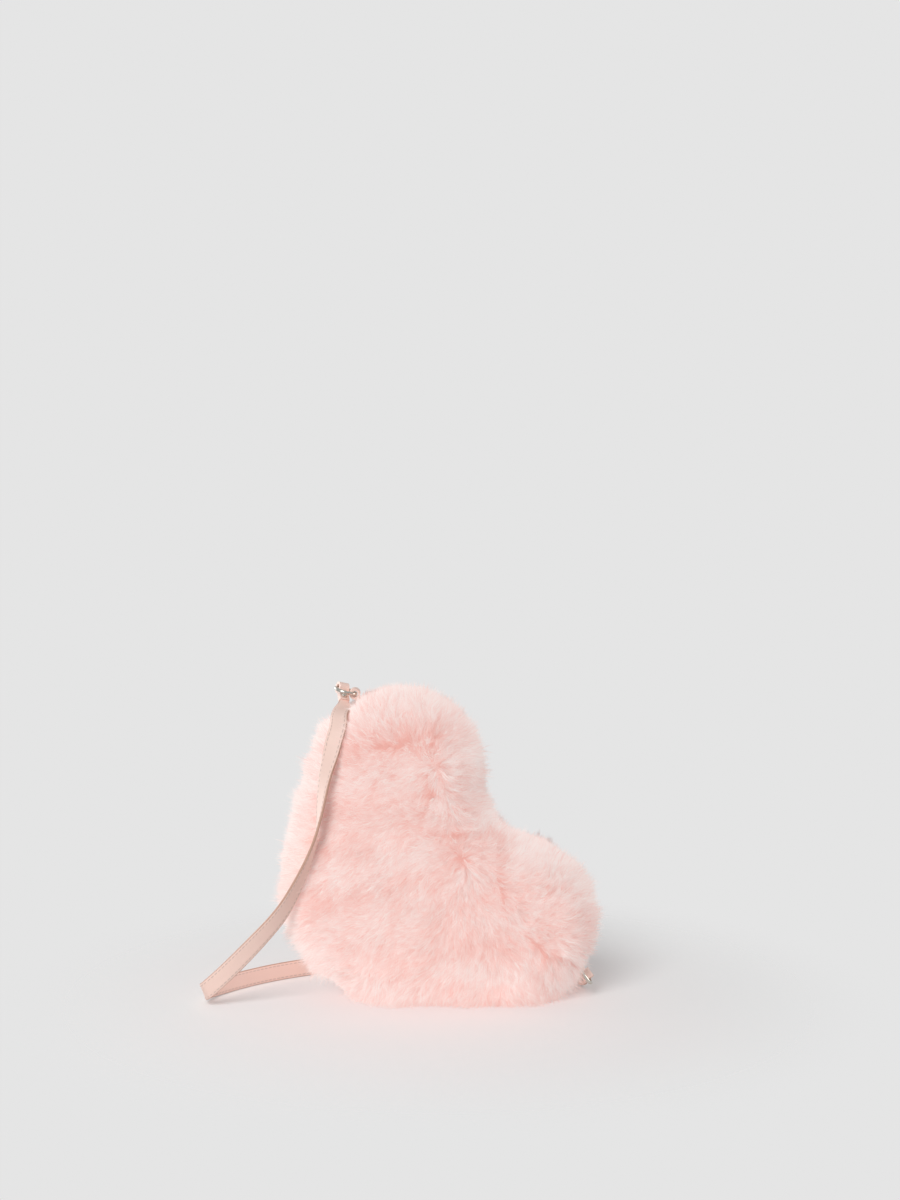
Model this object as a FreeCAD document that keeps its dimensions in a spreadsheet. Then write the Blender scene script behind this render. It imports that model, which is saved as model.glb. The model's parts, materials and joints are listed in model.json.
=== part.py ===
"""Heart shaped fur purse standing on one flank: fur shell, padding, lining, back zip, rings and strap."""

import FreeCAD
import Part
import Sketcher
import math
import os

Vector = FreeCAD.Vector
Rotation = FreeCAD.Rotation
Placement = FreeCAD.Placement

DEPTH_AXIS = Vector(0, 1, 0)

# Driving sizes in millimetres, angles in degrees.
SIZES = {
    # Fur heart outline in its own upright frame, tip at zero: two lobes, a blunt tip and a shallow notch.
    "lobe_spread": 55.5,
    "lobe_rise": 111.0,
    "lobe_radius": 53.0,
    "tip_radius": 77.0,
    "notch_radius": 33.0,
    "bag_depth": 70.0,
    "edge_radius": 28.0,
    "floor_press": 4.5,
    # Layers from the outside in; the loosest tips of the pile stand past the firm body of the fur.
    "fur_inset": 2.6,
    "fur_wall": 10.0,
    "padding_wall": 4.0,
    "lining_wall": 0.8,
    "layer_gap": 0.3,
    "seam_offset": 14.0,
    # Zip on the back panel, across both lobes.
    "zip_rise": 98.0,
    "zip_half": 50.0,
    "tape_thickness": 0.8,
    "tape_tail": 6.0,
    "tape_hold": 1.2,
    "chain_gap": 4.4,
    "slot_clearance": 0.5,
    "slot_room": 3.6,
    "collar_side": 6.5,
    "collar_margin": 4.0,
    "well_margin": 0.8,
    # One tooth of the chain: a foot on its tape, a neck and a hooked head past the middle.
    "tooth_pitch": 2.4,
    "tooth_height": 2.0,
    "tooth_foot_width": 1.5,
    "tooth_neck_width": 0.6,
    "tooth_head_width": 1.6,
    "tooth_head_reach": 1.2,
    "tooth_head_back": 0.5,
    "tooth_foot_start": 1.6,
    "tooth_foot_end": 4.2,
    # Slider: two plates joined by a wedge between the tapes, side lips and a bridge for the pull.
    "slider_length": 10.5,
    "slider_mouth_half": 6.0,
    "slider_rear_half": 5.4,
    "slider_plate": 1.2,
    "slider_lip": 0.8,
    "slider_clearance": 0.3,
    "wedge_half": 1.7,
    "wedge_tip_half": 0.4,
    "wedge_length": 3.8,
    "bridge_width": 2.2,
    "bridge_bar": 1.0,
    "bridge_room": 2.0,
    "bridge_front": 3.4,
    "bridge_rear": 2.2,
    # Pull: a round bar under the bridge, an open eye and a flat tongue with a hole.
    "pull_bar_radius": 0.6,
    "pull_bar_place": 1.4,
    "pull_thickness": 1.2,
    "pull_eye_half": 2.9,
    "pull_window_half": 1.6,
    "pull_window_end": 3.9,
    "pull_shoulder": 5.2,
    "pull_half": 3.4,
    "pull_length": 25.0,
    "pull_hole_radius": 1.5,
    "pull_hole_inset": 4.0,
    "pull_corner": 1.2,
    "pull_room": 0.9,
    # Metal stops at the ends of the chain.
    "stop_length": 2.4,
    "stop_height": 3.0,
    "stop_width": 2.0,
    # Leather tabs, rings and strap ends at the outer shoulders of the lobes.
    "upper_tab_angle": 8.0,
    "lower_tab_angle": 16.0,
    "tab_radius": 51.0,
    "tab_width": 6.5,
    "end_width": 6.0,
    "tab_thickness": 1.2,
    "loop_hole": 1.95,
    "recess_floor": 43.9,
    "recess_front": 12.0,
    "recess_back": 10.0,
    "recess_flank": 24.0,
    "recess_notch": 8.0,
    "groove_floor": 43.2,
    "groove_inner": 4.0,
    "groove_outer": 28.0,
    "ring_radius": 6.0,
    "wire_radius": 1.0,
    "upper_ring_angle": 164.0,
    "lower_ring_angle": -53.0,
    "upper_strap_turn": 65.0,
    "lower_strap_turn": 70.0,
    "upper_strap_drop": 140.0,
    "lower_strap_drop": -22.0,
    "strap_width": 10.4,
    "strap_thickness": 1.5,
    "tongue_length": 9.0,
    "strap_lead": 4.5,
    "rivet_drop": 5.6,
    "rivet_head_radius": 2.1,
    "rivet_head_height": 1.1,
    "rivet_post_radius": 0.9,
    "rivet_base_radius": 1.9,
    "rivet_base_height": 0.7,
    "rivet_fit": 0.08,
    "rivet_fillet": 0.9,
    # Every cut runs this far past what it cuts.
    "overrun": 5.0,
}

# Places and sizes that follow from the driving ones.
FORMULAS = {
    "centre_line": "=sqrt(lobe_spread^2 + (lobe_rise - tip_radius)^2)",
    "tilt": "=90deg + atan((lobe_rise - tip_radius) / lobe_spread)"
    " - acos((tip_radius - lobe_radius) / centre_line)",
    "left_end": "=tip_radius * (sin(tilt) - 1)",
    "right_end": "=lobe_spread * cos(tilt) + lobe_rise * sin(tilt) + lobe_radius",
    "stand_x": "=-(left_end + right_end) / 2",
    "stand_z": "=tip_radius * (1 - cos(tilt)) - floor_press",
    "half_depth": "=bag_depth / 2",
    "reach": "=lobe_rise + 2 * lobe_radius + overrun",
    "fur_inner_inset": "=fur_wall",
    "padding_inset": "=fur_inner_inset + layer_gap",
    "padding_inner_inset": "=padding_inset + padding_wall",
    "lining_inset": "=padding_inner_inset + layer_gap",
    "lining_inner_inset": "=lining_inset + lining_wall",
    "zip_x": "=stand_x + zip_rise * sin(tilt)",
    "zip_y": "=half_depth - fur_wall",
    "zip_z": "=stand_z + zip_rise * cos(tilt)",
    "slot_half_width": "=slider_mouth_half + slot_clearance",
    "slot_half_length": "=zip_half + stop_length + slot_room",
    "collar_half_width": "=slot_half_width + collar_side",
    "collar_half_length": "=slot_half_length + collar_margin",
    "tape_reach": "=collar_half_width + tape_hold",
    "tape_length": "=2 * (slot_half_length + tape_tail)",
    "slider_x": "=-zip_half + slider_clearance + slider_length / 2",
    "top_plate_low": "=tooth_height + slider_clearance",
    "top_plate_high": "=top_plate_low + slider_plate",
    "bottom_plate_high": "=-tape_thickness - slider_clearance",
    "lip_inner": "=tooth_foot_end + slider_clearance",
    "pull_y": "=top_plate_high + bridge_room / 2 + slider_clearance / 2",
    "pull_tip": "=zip_half - slider_clearance - slider_length / 2 + pull_bar_place + pull_length",
    "dish_half": "=pull_half + pull_room",
    "dish_floor": "=pull_y - pull_thickness / 2 - pull_room",
    "tooth_start": "=slider_x + slider_clearance - slider_length / 2 + wedge_length + tooth_head_width / 2",
    "tooth_count": "=floor((zip_half - slider_clearance - tooth_foot_width / 2 - tooth_pitch / 2"
    " - tooth_start) / tooth_pitch) + 1",
    "upper_x": "=stand_x - lobe_spread * cos(tilt) + lobe_rise * sin(tilt)",
    "upper_z": "=stand_z + lobe_spread * sin(tilt) + lobe_rise * cos(tilt)",
    "lower_x": "=stand_x + lobe_spread * cos(tilt) + lobe_rise * sin(tilt)",
    "lower_z": "=stand_z - lobe_spread * sin(tilt) + lobe_rise * cos(tilt)",
    "upper_tab_turn": "=tilt - 90deg + upper_tab_angle * 1deg",
    "lower_tab_turn": "=tilt + 90deg - lower_tab_angle * 1deg",
    "upper_tab_x": "=upper_x + tab_radius * sin(upper_tab_turn)",
    "upper_tab_z": "=upper_z + tab_radius * cos(upper_tab_turn)",
    "lower_tab_x": "=lower_x + tab_radius * sin(lower_tab_turn)",
    "lower_tab_z": "=lower_z + tab_radius * cos(lower_tab_turn)",
    "tab_neck": "=tab_radius - recess_floor",
    "tab_place": "=(ring_radius + sqrt(ring_radius^2 - tab_width^2 / 4)) / 2",
    "end_place": "=(ring_radius + sqrt(ring_radius^2 - end_width^2 / 4)) / 2",
    "rivet_grip": "=2 * strap_thickness",
}

# Turn about the depth axis and origin of each frame that pieces are placed in.
FRAMES = {
    "row": ("0", "0", "0", "0"),
    "heart": ("sizes.stand_x", "0", "sizes.stand_z", "sizes.tilt"),
    "zip": ("sizes.zip_x", "sizes.zip_y", "sizes.zip_z", "sizes.tilt"),
    "upper_tab": ("sizes.upper_tab_x", "0", "sizes.upper_tab_z", "sizes.upper_tab_turn"),
    "lower_tab": ("sizes.lower_tab_x", "0", "sizes.lower_tab_z", "sizes.lower_tab_turn"),
}

# Route of the strap's centre line between its two ends, with the direction of its width at each point.
STRAP_ROUTE = [
    ((-57.6, -19.0, 173.4), (-0.95, 0.12, -0.28)),
    ((-57.4, -29.0, 168.0), (-0.95, 0.12, -0.28)),
    ((-59.8, -33.0, 160.6), (-0.93, 0.32, -0.12)),
    ((-61.7, -34.3, 152.6), (-0.86, 0.50, 0.05)),
    ((-65.4, -36.4, 139.5), (-0.64, 0.77, 0.00)),
    ((-68.0, -39.2, 120.0), (-0.34, 0.94, 0.00)),
    ((-71.0, -40.2, 100.5), (0.22, 0.97, -0.08)),
    ((-79.5, -38.6, 79.5), (0.47, 0.82, -0.30)),
    ((-90.5, -35.0, 58.5), (0.60, 0.57, -0.55)),
    ((-108.8, -30.5, 37.5), (0.71, 0.22, -0.67)),
    ((-125.0, -27.5, 20.5), (0.71, 0.05, -0.70)),
    ((-136.5, -24.5, 9.6), (0.50, 0.00, -0.87)),
    ((-138.2, -13.0, 6.8), (0.22, 0.00, -0.98)),
    ((-130.5, 1.0, 5.8), (0.06, 0.00, -1.00)),
    ((-118.0, 17.0, 5.5), (0.00, 0.00, -1.00)),
    ((-101.0, 33.0, 5.5), (0.00, 0.00, -1.00)),
    ((-78.0, 48.0, 5.5), (0.00, 0.00, -1.00)),
    ((-50.0, 60.0, 5.5), (0.00, 0.00, -1.00)),
    ((-18.0, 67.0, 5.5), (0.00, 0.00, -1.00)),
    ((14.0, 67.0, 5.5), (0.00, 0.00, -1.00)),
    ((43.0, 59.0, 5.5), (0.00, 0.00, -1.00)),
    ((66.0, 45.0, 5.5), (0.05, 0.00, -1.00)),
    ((81.5, 29.0, 5.6), (0.20, 0.00, -0.98)),
]
BEND_SHARE = 0.45
TURN_STEP = 12.0
TWIST_STEP = 10.0

doc = FreeCAD.newDocument("heart_purse")
sheet = doc.addObject("Spreadsheet::Sheet", "sizes")
for row, (alias, value) in enumerate(list(SIZES.items()) + list(FORMULAS.items()), 1):
    sheet.set(f"A{row}", str(value))
    sheet.setAlias(f"A{row}", alias)
doc.recompute()


def size(alias):
    """Plain number of a sheet cell."""
    value = sheet.get(alias)
    return float(getattr(value, "Value", value))


def put(piece, frame, x="0", y="0", z="0"):
    """Binds a piece's placement to a point given in one of the frames."""
    base_x, base_y, base_z, turn = FRAMES[frame]
    piece.Placement = Placement(Vector(), Rotation(DEPTH_AXIS, 1))
    piece.setExpression("Placement.Base.x", f"{base_x} + cos({turn}) * ({x}) + sin({turn}) * ({z})")
    piece.setExpression("Placement.Base.y", f"{base_y} + ({y})")
    piece.setExpression("Placement.Base.z", f"{base_z} - sin({turn}) * ({x}) + cos({turn}) * ({z})")
    piece.setExpression("Placement.Rotation.Angle", turn)
    return piece


def box(name, frame, x, y, z):
    """A block between two expressions along each axis of a frame."""
    block = doc.addObject("Part::Box", name)
    for side, (low, high) in zip(("Length", "Width", "Height"), (x, y, z)):
        block.setExpression(side, f"({high}) - ({low})")
    return put(block, frame, x[0], y[0], z[0])


def combine(kind, name, base, tool):
    """A boolean of two objects."""
    result = doc.addObject(f"Part::{kind}", name)
    result.Base = base
    result.Tool = tool
    return result


def new_body(name):
    """An empty body that may hold several solids."""
    body = doc.addObject("PartDesign::Body", name)
    body.AllowCompound = True
    return body


def new_sketch(body, name, plane, lift="0"):
    """A sketch on one of the body's own planes, lifted along the plane's normal."""
    sketch = body.newObject("Sketcher::SketchObject", name)
    origin = [feature for feature in body.Origin.OriginFeatures if feature.Role == plane]
    sketch.AttachmentSupport = (origin[0], [""])
    sketch.MapMode = "FlatFace"
    if lift != "0":
        sketch.setExpression("AttachmentOffset.Base.z", lift)
    return sketch


def rule(sketch, kind, *values, name=None, to=None):
    """Adds a constraint, bound to an expression where one is given."""
    index = sketch.addConstraint(Sketcher.Constraint(kind, *values))
    if to is not None:
        sketch.renameConstraint(index, name)
        sketch.setExpression(f"Constraints.{name}", to)


def number(expression):
    """Value of an expression, worked out in the sheet's last column."""
    sheet.set("Z1", "=" + expression.replace("sizes.", ""))
    sheet.recompute()
    value = sheet.get("Z1")
    return float(getattr(value, "Value", value))


def polygon(body, name, plane, corners, lift="0"):
    """A closed outline whose corners are pairs of expressions."""
    sketch = new_sketch(body, name, plane, lift)
    points = [Vector(number(x), number(y), 0) for x, y in corners]
    for start, end in zip(points, points[1:] + points[:1]):
        sketch.addGeometry(Part.LineSegment(start, end))
    for index, (x, y) in enumerate(corners):
        rule(sketch, "Coincident", index, 2, (index + 1) % len(corners), 1)
        rule(sketch, "DistanceX", -1, 1, index, 1, points[index].x, name=f"x{index}", to=x)
        rule(sketch, "DistanceY", -1, 1, index, 1, points[index].y, name=f"y{index}", to=y)
    return sketch


def disc(body, name, plane, radius, along=None, lift="0"):
    """A circle at the origin, or shifted along the sketch's upright axis."""
    sketch = new_sketch(body, name, plane, lift)
    centre = Vector(0, number(along), 0) if along else Vector()
    sketch.addGeometry(Part.Circle(centre, Vector(0, 0, 1), number(radius)))
    rule(sketch, "Radius", 0, number(radius), name="radius", to=radius)
    if along:
        rule(sketch, "PointOnObject", 0, 3, -2)
        rule(sketch, "DistanceY", -1, 1, 0, 3, centre.y, name="along", to=along)
    else:
        rule(sketch, "Coincident", 0, 3, -1, 1)
    return sketch


def pad(body, sketch, length, way="One side", back=False):
    """Extrudes a sketch."""
    feature = body.newObject("PartDesign::Pad", f"{sketch.Name}_pad")
    feature.Profile = sketch
    feature.SideType = way
    feature.Reversed = back
    feature.setExpression("Length", length)
    body.Tip = feature
    return feature


def pocket(body, sketch):
    """Cuts a sketch through the whole body, both ways."""
    feature = body.newObject("PartDesign::Pocket", f"{sketch.Name}_pocket")
    feature.Profile = sketch
    feature.SideType = "Symmetric"
    feature.Type = "ThroughAll"
    body.Tip = feature
    return feature


def fillet(body, base, radius, wanted):
    """Rounds those edges of a feature that a test on the edge picks."""
    doc.recompute()
    names = [f"Edge{i}" for i, edge in enumerate(base.Shape.Edges, 1) if wanted(edge)]
    feature = body.newObject("PartDesign::Fillet", f"{base.Name}_fillet")
    feature.Base = (base, names)
    feature.setExpression("Radius", radius)
    body.Tip = feature
    return feature


def slab(body, name, corners, low, high):
    """A plate between two heights along the depth axis, from an outline across it."""
    return pad(body, polygon(body, name, "XZ_Plane", corners, f"-({low})"), f"({high}) - ({low})", back=True)


def heart_sketch(body, name, inset):
    """Heart outline drawn in by an inset: arcs for lobes, notch and tip, straight flanks."""
    sketch = new_sketch(body, name, "XZ_Plane")
    drawn_in = size(inset)
    spread, rise = size("lobe_spread"), size("lobe_rise")
    lobe, tip = size("lobe_radius") - drawn_in, size("tip_radius") - drawn_in
    notch = size("notch_radius") + drawn_in
    notch_rise = rise + math.sqrt((lobe + notch) ** 2 - spread**2)
    flank = math.radians(size("tilt") - 90)
    lean = math.atan2(notch_rise - rise, -spread)

    def arc(x, y, radius, start, end):
        circle = Part.Circle(Vector(x, y, 0), Vector(0, 0, 1), radius)
        return sketch.addGeometry(Part.ArcOfCircle(circle, start, end))

    def on(x, y, radius, angle):
        return Vector(x + radius * math.cos(angle), y + radius * math.sin(angle), 0)

    tip_rise = size("tip_radius")
    right = arc(spread, rise, lobe, flank, lean)
    hollow = arc(0, notch_rise, notch, -lean, lean - math.pi)
    left = arc(-spread, rise, lobe, math.pi - lean, math.pi - flank)
    point = arc(0, tip_rise, tip, math.pi - flank, 2 * math.pi + flank)
    left_flank = sketch.addGeometry(
        Part.LineSegment(on(-spread, rise, lobe, math.pi - flank), on(0, tip_rise, tip, math.pi - flank))
    )
    right_flank = sketch.addGeometry(
        Part.LineSegment(on(0, tip_rise, tip, flank), on(spread, rise, lobe, flank))
    )
    for one, end, other, start in (
        (right, 2, hollow, 2),
        (hollow, 1, left, 1),
        (left, 2, left_flank, 1),
        (left_flank, 2, point, 1),
        (point, 2, right_flank, 1),
        (right_flank, 2, right, 1),
    ):
        rule(sketch, "Tangent", one, end, other, start)
    rule(sketch, "Radius", right, lobe, name="lobe", to=f"sizes.lobe_radius - sizes.{inset}")
    rule(sketch, "Equal", right, left)
    rule(sketch, "Radius", point, tip, name="tip", to=f"sizes.tip_radius - sizes.{inset}")
    rule(sketch, "Radius", hollow, notch, name="notch", to=f"sizes.notch_radius + sizes.{inset}")
    rule(sketch, "DistanceX", -1, 1, right, 3, spread, name="right_x", to="sizes.lobe_spread")
    rule(sketch, "DistanceY", -1, 1, right, 3, rise, name="right_y", to="sizes.lobe_rise")
    rule(sketch, "DistanceX", left, 3, -1, 1, spread, name="left_x", to="sizes.lobe_spread")
    rule(sketch, "DistanceY", -1, 1, left, 3, rise, name="left_y", to="sizes.lobe_rise")
    rule(sketch, "PointOnObject", point, 3, -2)
    rule(sketch, "DistanceY", -1, 1, point, 3, tip_rise, name="tip_y", to="sizes.tip_radius")
    return sketch


def heart_block(name, inset):
    """A pillow of the heart outline with rounded rims, drawn in on every side by an inset."""
    body = new_body(name)
    plump = pad(body, heart_sketch(body, f"{name}_outline", inset), f"2 * (sizes.half_depth - sizes.{inset})",
                "Symmetric")
    face = size("half_depth") - size(inset)
    fillet(body, plump, f"sizes.edge_radius - sizes.{inset}",
           lambda edge: all(math.isclose(abs(v.Y), face, abs_tol=1e-6) for v in edge.Vertexes))
    return put(body, "heart")


def heart_shell(name, outer, inner):
    """One layer of the purse as a hollow heart."""
    return combine("Cut", name, heart_block(f"{name}_outside", outer), heart_block(f"{name}_inside", inner))


def across(name, low, high):
    """A slab of space between two depths, wider than the purse."""
    wide = ("-2 * sizes.reach", "2 * sizes.reach")
    return box(name, "row", wide, (low, high), wide)


FRONT = "-sizes.half_depth - sizes.overrun"
BACK = "sizes.half_depth + sizes.overrun"


def make_fur():
    """Fur shell, pressed flat on the floor, parted round rings and pull, as its three sewn panels."""
    shell = heart_shell("fur_shell", "fur_inset", "fur_inner_inset")
    wide = ("-sizes.reach", "sizes.reach")
    cuts = doc.addObject("Part::MultiFuse", "fur_cuts")
    above = ("sizes.recess_floor - sizes.tab_radius", "sizes.ring_radius + sizes.overrun")
    above_strap = ("sizes.groove_floor - sizes.tab_radius", "sizes.ring_radius + sizes.overrun")
    beside = ("-sizes.recess_front", "sizes.recess_back")
    cuts.Shapes = [
        box("floor_cut", "row", wide, (FRONT, BACK), ("-sizes.overrun - sizes.floor_press", "0")),
        box("upper_recess", "upper_tab", ("-sizes.recess_flank", "sizes.recess_notch"), beside, above),
        box("strap_groove", "upper_tab", ("-sizes.groove_outer", "-sizes.groove_inner"), (FRONT, "0"),
            above_strap),
        box("lower_recess", "lower_tab", ("-sizes.recess_notch", "sizes.recess_notch"), beside, above),
        box("zip_slot", "zip", ("-sizes.slot_half_length", "sizes.slot_half_length"),
            ("-sizes.overrun", BACK), ("-sizes.slot_half_width", "sizes.slot_half_width")),
        box("pull_dish", "zip",
            ("sizes.slot_half_length - sizes.overrun", "sizes.pull_tip + sizes.pull_room"),
            ("sizes.dish_floor", BACK), ("-sizes.dish_half", "sizes.dish_half")),
    ]
    opened = combine("Cut", "fur_opened", shell, cuts)
    return [
        combine("Common", "front_fur_panel", opened, across("front_space", FRONT, "-sizes.seam_offset")),
        combine("Common", "fur_gusset", opened,
                across("gusset_space", "-sizes.seam_offset", "sizes.seam_offset")),
        combine("Common", "back_fur_panel", opened, across("back_space", "sizes.seam_offset", BACK)),
    ]


def make_padding():
    """Foam layer in two halves, the back one open round the zip."""
    shell = heart_shell("padding_shell", "padding_inset", "padding_inner_inset")
    back = combine("Common", "padding_back_half", shell, across("padding_back_space", "0", BACK))
    well = box("padding_well", "zip",
               ("-sizes.tape_length / 2 - sizes.well_margin", "sizes.tape_length / 2 + sizes.well_margin"),
               ("-sizes.fur_wall", "sizes.overrun"),
               ("-sizes.tape_reach - sizes.well_margin", "sizes.tape_reach + sizes.well_margin"))
    return [
        combine("Common", "front_padding", shell, across("padding_front_space", FRONT, "0")),
        combine("Cut", "back_padding", back, well),
    ]


def make_lining():
    """Lining pouch in two halves, the back one turned outward in a collar up to the zip tapes."""
    shell = heart_shell("lining_shell", "lining_inset", "lining_inner_inset")
    back = combine("Common", "lining_back_half", shell, across("lining_back_space", "0", BACK))
    inner_face = "sizes.fur_wall - sizes.lining_inner_inset"
    collar = box("lining_collar", "zip",
                 ("-sizes.collar_half_length", "sizes.collar_half_length"),
                 (inner_face, "-sizes.tape_thickness"),
                 ("-sizes.collar_half_width", "sizes.collar_half_width"))
    mouth_end, mouth_side = [f"sizes.collar_half_{way} - sizes.lining_wall" for way in ("length", "width")]
    mouth = box("lining_mouth", "zip", (f"-({mouth_end})", mouth_end),
                (f"{inner_face} - sizes.overrun", "sizes.overrun"), (f"-({mouth_side})", mouth_side))
    return [
        combine("Common", "front_lining", shell, across("lining_front_space", FRONT, "0")),
        combine("Cut", "back_lining", combine("Fuse", "lining_with_collar", back, collar), mouth),
    ]


def make_tapes():
    """The two woven tapes of the zip, sewn under the edges of the slot."""
    along = ("-sizes.tape_length / 2", "sizes.tape_length / 2")
    deep = ("-sizes.tape_thickness", "0")
    return [
        box("zip_tape_upper", "zip", along, deep, ("sizes.chain_gap / 2", "sizes.tape_reach")),
        box("zip_tape_lower", "zip", along, deep, ("-sizes.tape_reach", "-sizes.chain_gap / 2")),
    ]


def make_teeth(name, side, shift):
    """One row of hooked teeth, which reach between those of the other row."""
    half = {part: f"sizes.tooth_{part}_width / 2" for part in ("foot", "neck", "head")}
    levels = [
        (half["head"], "-sizes.tooth_head_reach"),
        (half["head"], "-sizes.tooth_head_back"),
        (half["neck"], "-sizes.tooth_head_back"),
        (half["neck"], "sizes.tooth_foot_start"),
        (half["foot"], "sizes.tooth_foot_start"),
        (half["foot"], "sizes.tooth_foot_end"),
    ]
    outline = [(x, f"{side} * ({z})") for x, z in levels]
    outline += [(f"-({x})", z) for x, z in reversed(outline)]
    row = new_body(name)
    tooth = slab(row, f"{name}_outline", outline, "0", "sizes.tooth_height")
    doc.recompute()
    pattern = row.newObject("PartDesign::LinearPattern", f"{name}_pattern")
    pattern.Originals = [tooth]
    pattern.Direction = (tooth.Profile[0], ["H_Axis"])
    pattern.setExpression("Length", "(sizes.tooth_count - 1) * sizes.tooth_pitch")
    pattern.setExpression("Occurrences", "sizes.tooth_count")
    row.Tip = pattern
    return put(row, "zip", f"sizes.tooth_start + {shift} * sizes.tooth_pitch")


def make_stops():
    """Crimped metal stops: one on each tape where the zip closes, one across both where it opens."""
    past = ("-sizes.zip_half - sizes.stop_length", "-sizes.zip_half")
    deep = ("0", "sizes.stop_height")
    inner, outer = "sizes.chain_gap / 2", "sizes.chain_gap / 2 + sizes.stop_width"
    pair = doc.addObject("Part::MultiFuse", "zip_top_stops")
    pair.Shapes = [
        box("stop_above", "zip", past, deep, (inner, outer)),
        box("stop_below", "zip", past, deep, (f"-({outer})", f"-({inner})")),
    ]
    end = box("zip_bottom_stop", "zip", ("sizes.zip_half", "sizes.zip_half + sizes.stop_length"), deep,
              (f"-({outer})", outer))
    return [pair, end]


def make_slider():
    """Slider with two plates, the wedge that parts the rows, guiding lips and the bridge."""
    body = new_body("zip_slider")
    front, rear = "-sizes.slider_length / 2", "sizes.slider_length / 2"
    mouth, tail = "sizes.slider_mouth_half", "sizes.slider_rear_half"
    waist = "-sizes.slider_length / 8"
    plate = [
        (front, f"-{mouth}"),
        (waist, f"-{mouth}"),
        (rear, f"-{tail}"),
        (rear, tail),
        (waist, mouth),
        (front, mouth),
    ]
    slab(body, "slider_under", plate, "sizes.bottom_plate_high - sizes.slider_plate",
         "sizes.bottom_plate_high")
    wedge_end = f"{front} + sizes.wedge_length"
    wedge = [
        (front, "-sizes.wedge_half"),
        (wedge_end, "-sizes.wedge_tip_half"),
        (wedge_end, "sizes.wedge_tip_half"),
        (front, "sizes.wedge_half"),
    ]
    slab(body, "slider_wedge", wedge, "sizes.bottom_plate_high", "sizes.top_plate_low")
    slab(body, "slider_over", plate, "sizes.top_plate_low", "sizes.top_plate_high")
    for name, sign in (("slider_lip_above", ""), ("slider_lip_below", "-")):
        lip = [
            (front, f"{sign}({mouth} - sizes.slider_lip)"),
            (waist, f"{sign}({mouth} - sizes.slider_lip)"),
            (rear, f"{sign}sizes.lip_inner"),
            (rear, f"{sign}{tail}"),
            (waist, f"{sign}{mouth}"),
            (front, f"{sign}{mouth}"),
        ]
        slab(body, name, lip, "sizes.slider_clearance", "sizes.top_plate_low")
    low, high = "sizes.top_plate_high", "sizes.top_plate_high + sizes.bridge_room"
    crown = f"{high} + sizes.bridge_bar"
    start, end = "-sizes.bridge_rear", "sizes.bridge_front"
    arch = [
        (start, low),
        (f"{start} + sizes.bridge_bar", low),
        (f"{start} + sizes.bridge_bar", high),
        (f"{end} - sizes.bridge_bar", high),
        (f"{end} - sizes.bridge_bar", low),
        (end, low),
        (end, f"{crown} - sizes.bridge_bar / 2"),
        (f"{end} - sizes.bridge_bar", crown),
        (f"{start} + sizes.bridge_bar", crown),
        (start, f"{crown} - sizes.bridge_bar / 2"),
    ]
    pad(body, polygon(body, "slider_bridge", "XY_Plane", arch), "sizes.bridge_width", "Symmetric")
    return put(body, "zip", "sizes.slider_x")


def make_pull():
    """Pull that turns on a round bar under the slider's bridge."""
    body = new_body("zip_pull")
    eye, half = "sizes.pull_eye_half", "sizes.pull_half"
    start = "-sizes.pull_bar_radius"
    shoulder, end = "sizes.pull_shoulder", "sizes.pull_length"
    outline = [
        (start, f"-{eye}"),
        (shoulder, f"-{eye}"),
        (f"{shoulder} + {half} - sizes.pull_window_half", f"-{half}"),
        (end, f"-{half}"),
        (end, half),
        (f"{shoulder} + {half} - sizes.pull_window_half", half),
        (shoulder, eye),
        (start, eye),
    ]
    flat = pad(body, polygon(body, "pull_outline", "XZ_Plane", outline), "sizes.pull_thickness", "Symmetric")
    corner = size("pull_length")
    fillet(body, flat, "sizes.pull_corner",
           lambda edge: all(math.isclose(v.X, corner, abs_tol=1e-6) for v in edge.Vertexes)
           and abs(edge.tangentAt(edge.FirstParameter).y) > BEND_SHARE)
    window = [
        (start, "-sizes.pull_window_half"),
        ("sizes.pull_window_end", "-sizes.pull_window_half"),
        ("sizes.pull_window_end", "sizes.pull_window_half"),
        (start, "sizes.pull_window_half"),
    ]
    pocket(body, polygon(body, "pull_window", "XZ_Plane", window))
    hole = new_sketch(body, "pull_hole", "XZ_Plane")
    place = size("pull_length") - size("pull_hole_inset")
    hole.addGeometry(Part.Circle(Vector(place, 0, 0), Vector(0, 0, 1), size("pull_hole_radius")))
    rule(hole, "Radius", 0, size("pull_hole_radius"), name="radius", to="sizes.pull_hole_radius")
    rule(hole, "PointOnObject", 0, 3, -1)
    rule(hole, "DistanceX", -1, 1, 0, 3, place, name="along", to="sizes.pull_length - sizes.pull_hole_inset")
    pocket(body, hole)
    pad(body, disc(body, "pull_bar", "XY_Plane", "sizes.pull_bar_radius"), "2 * sizes.pull_eye_half",
        "Symmetric")
    return put(body, "zip", "sizes.slider_x + sizes.pull_bar_place", "sizes.pull_y")


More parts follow.
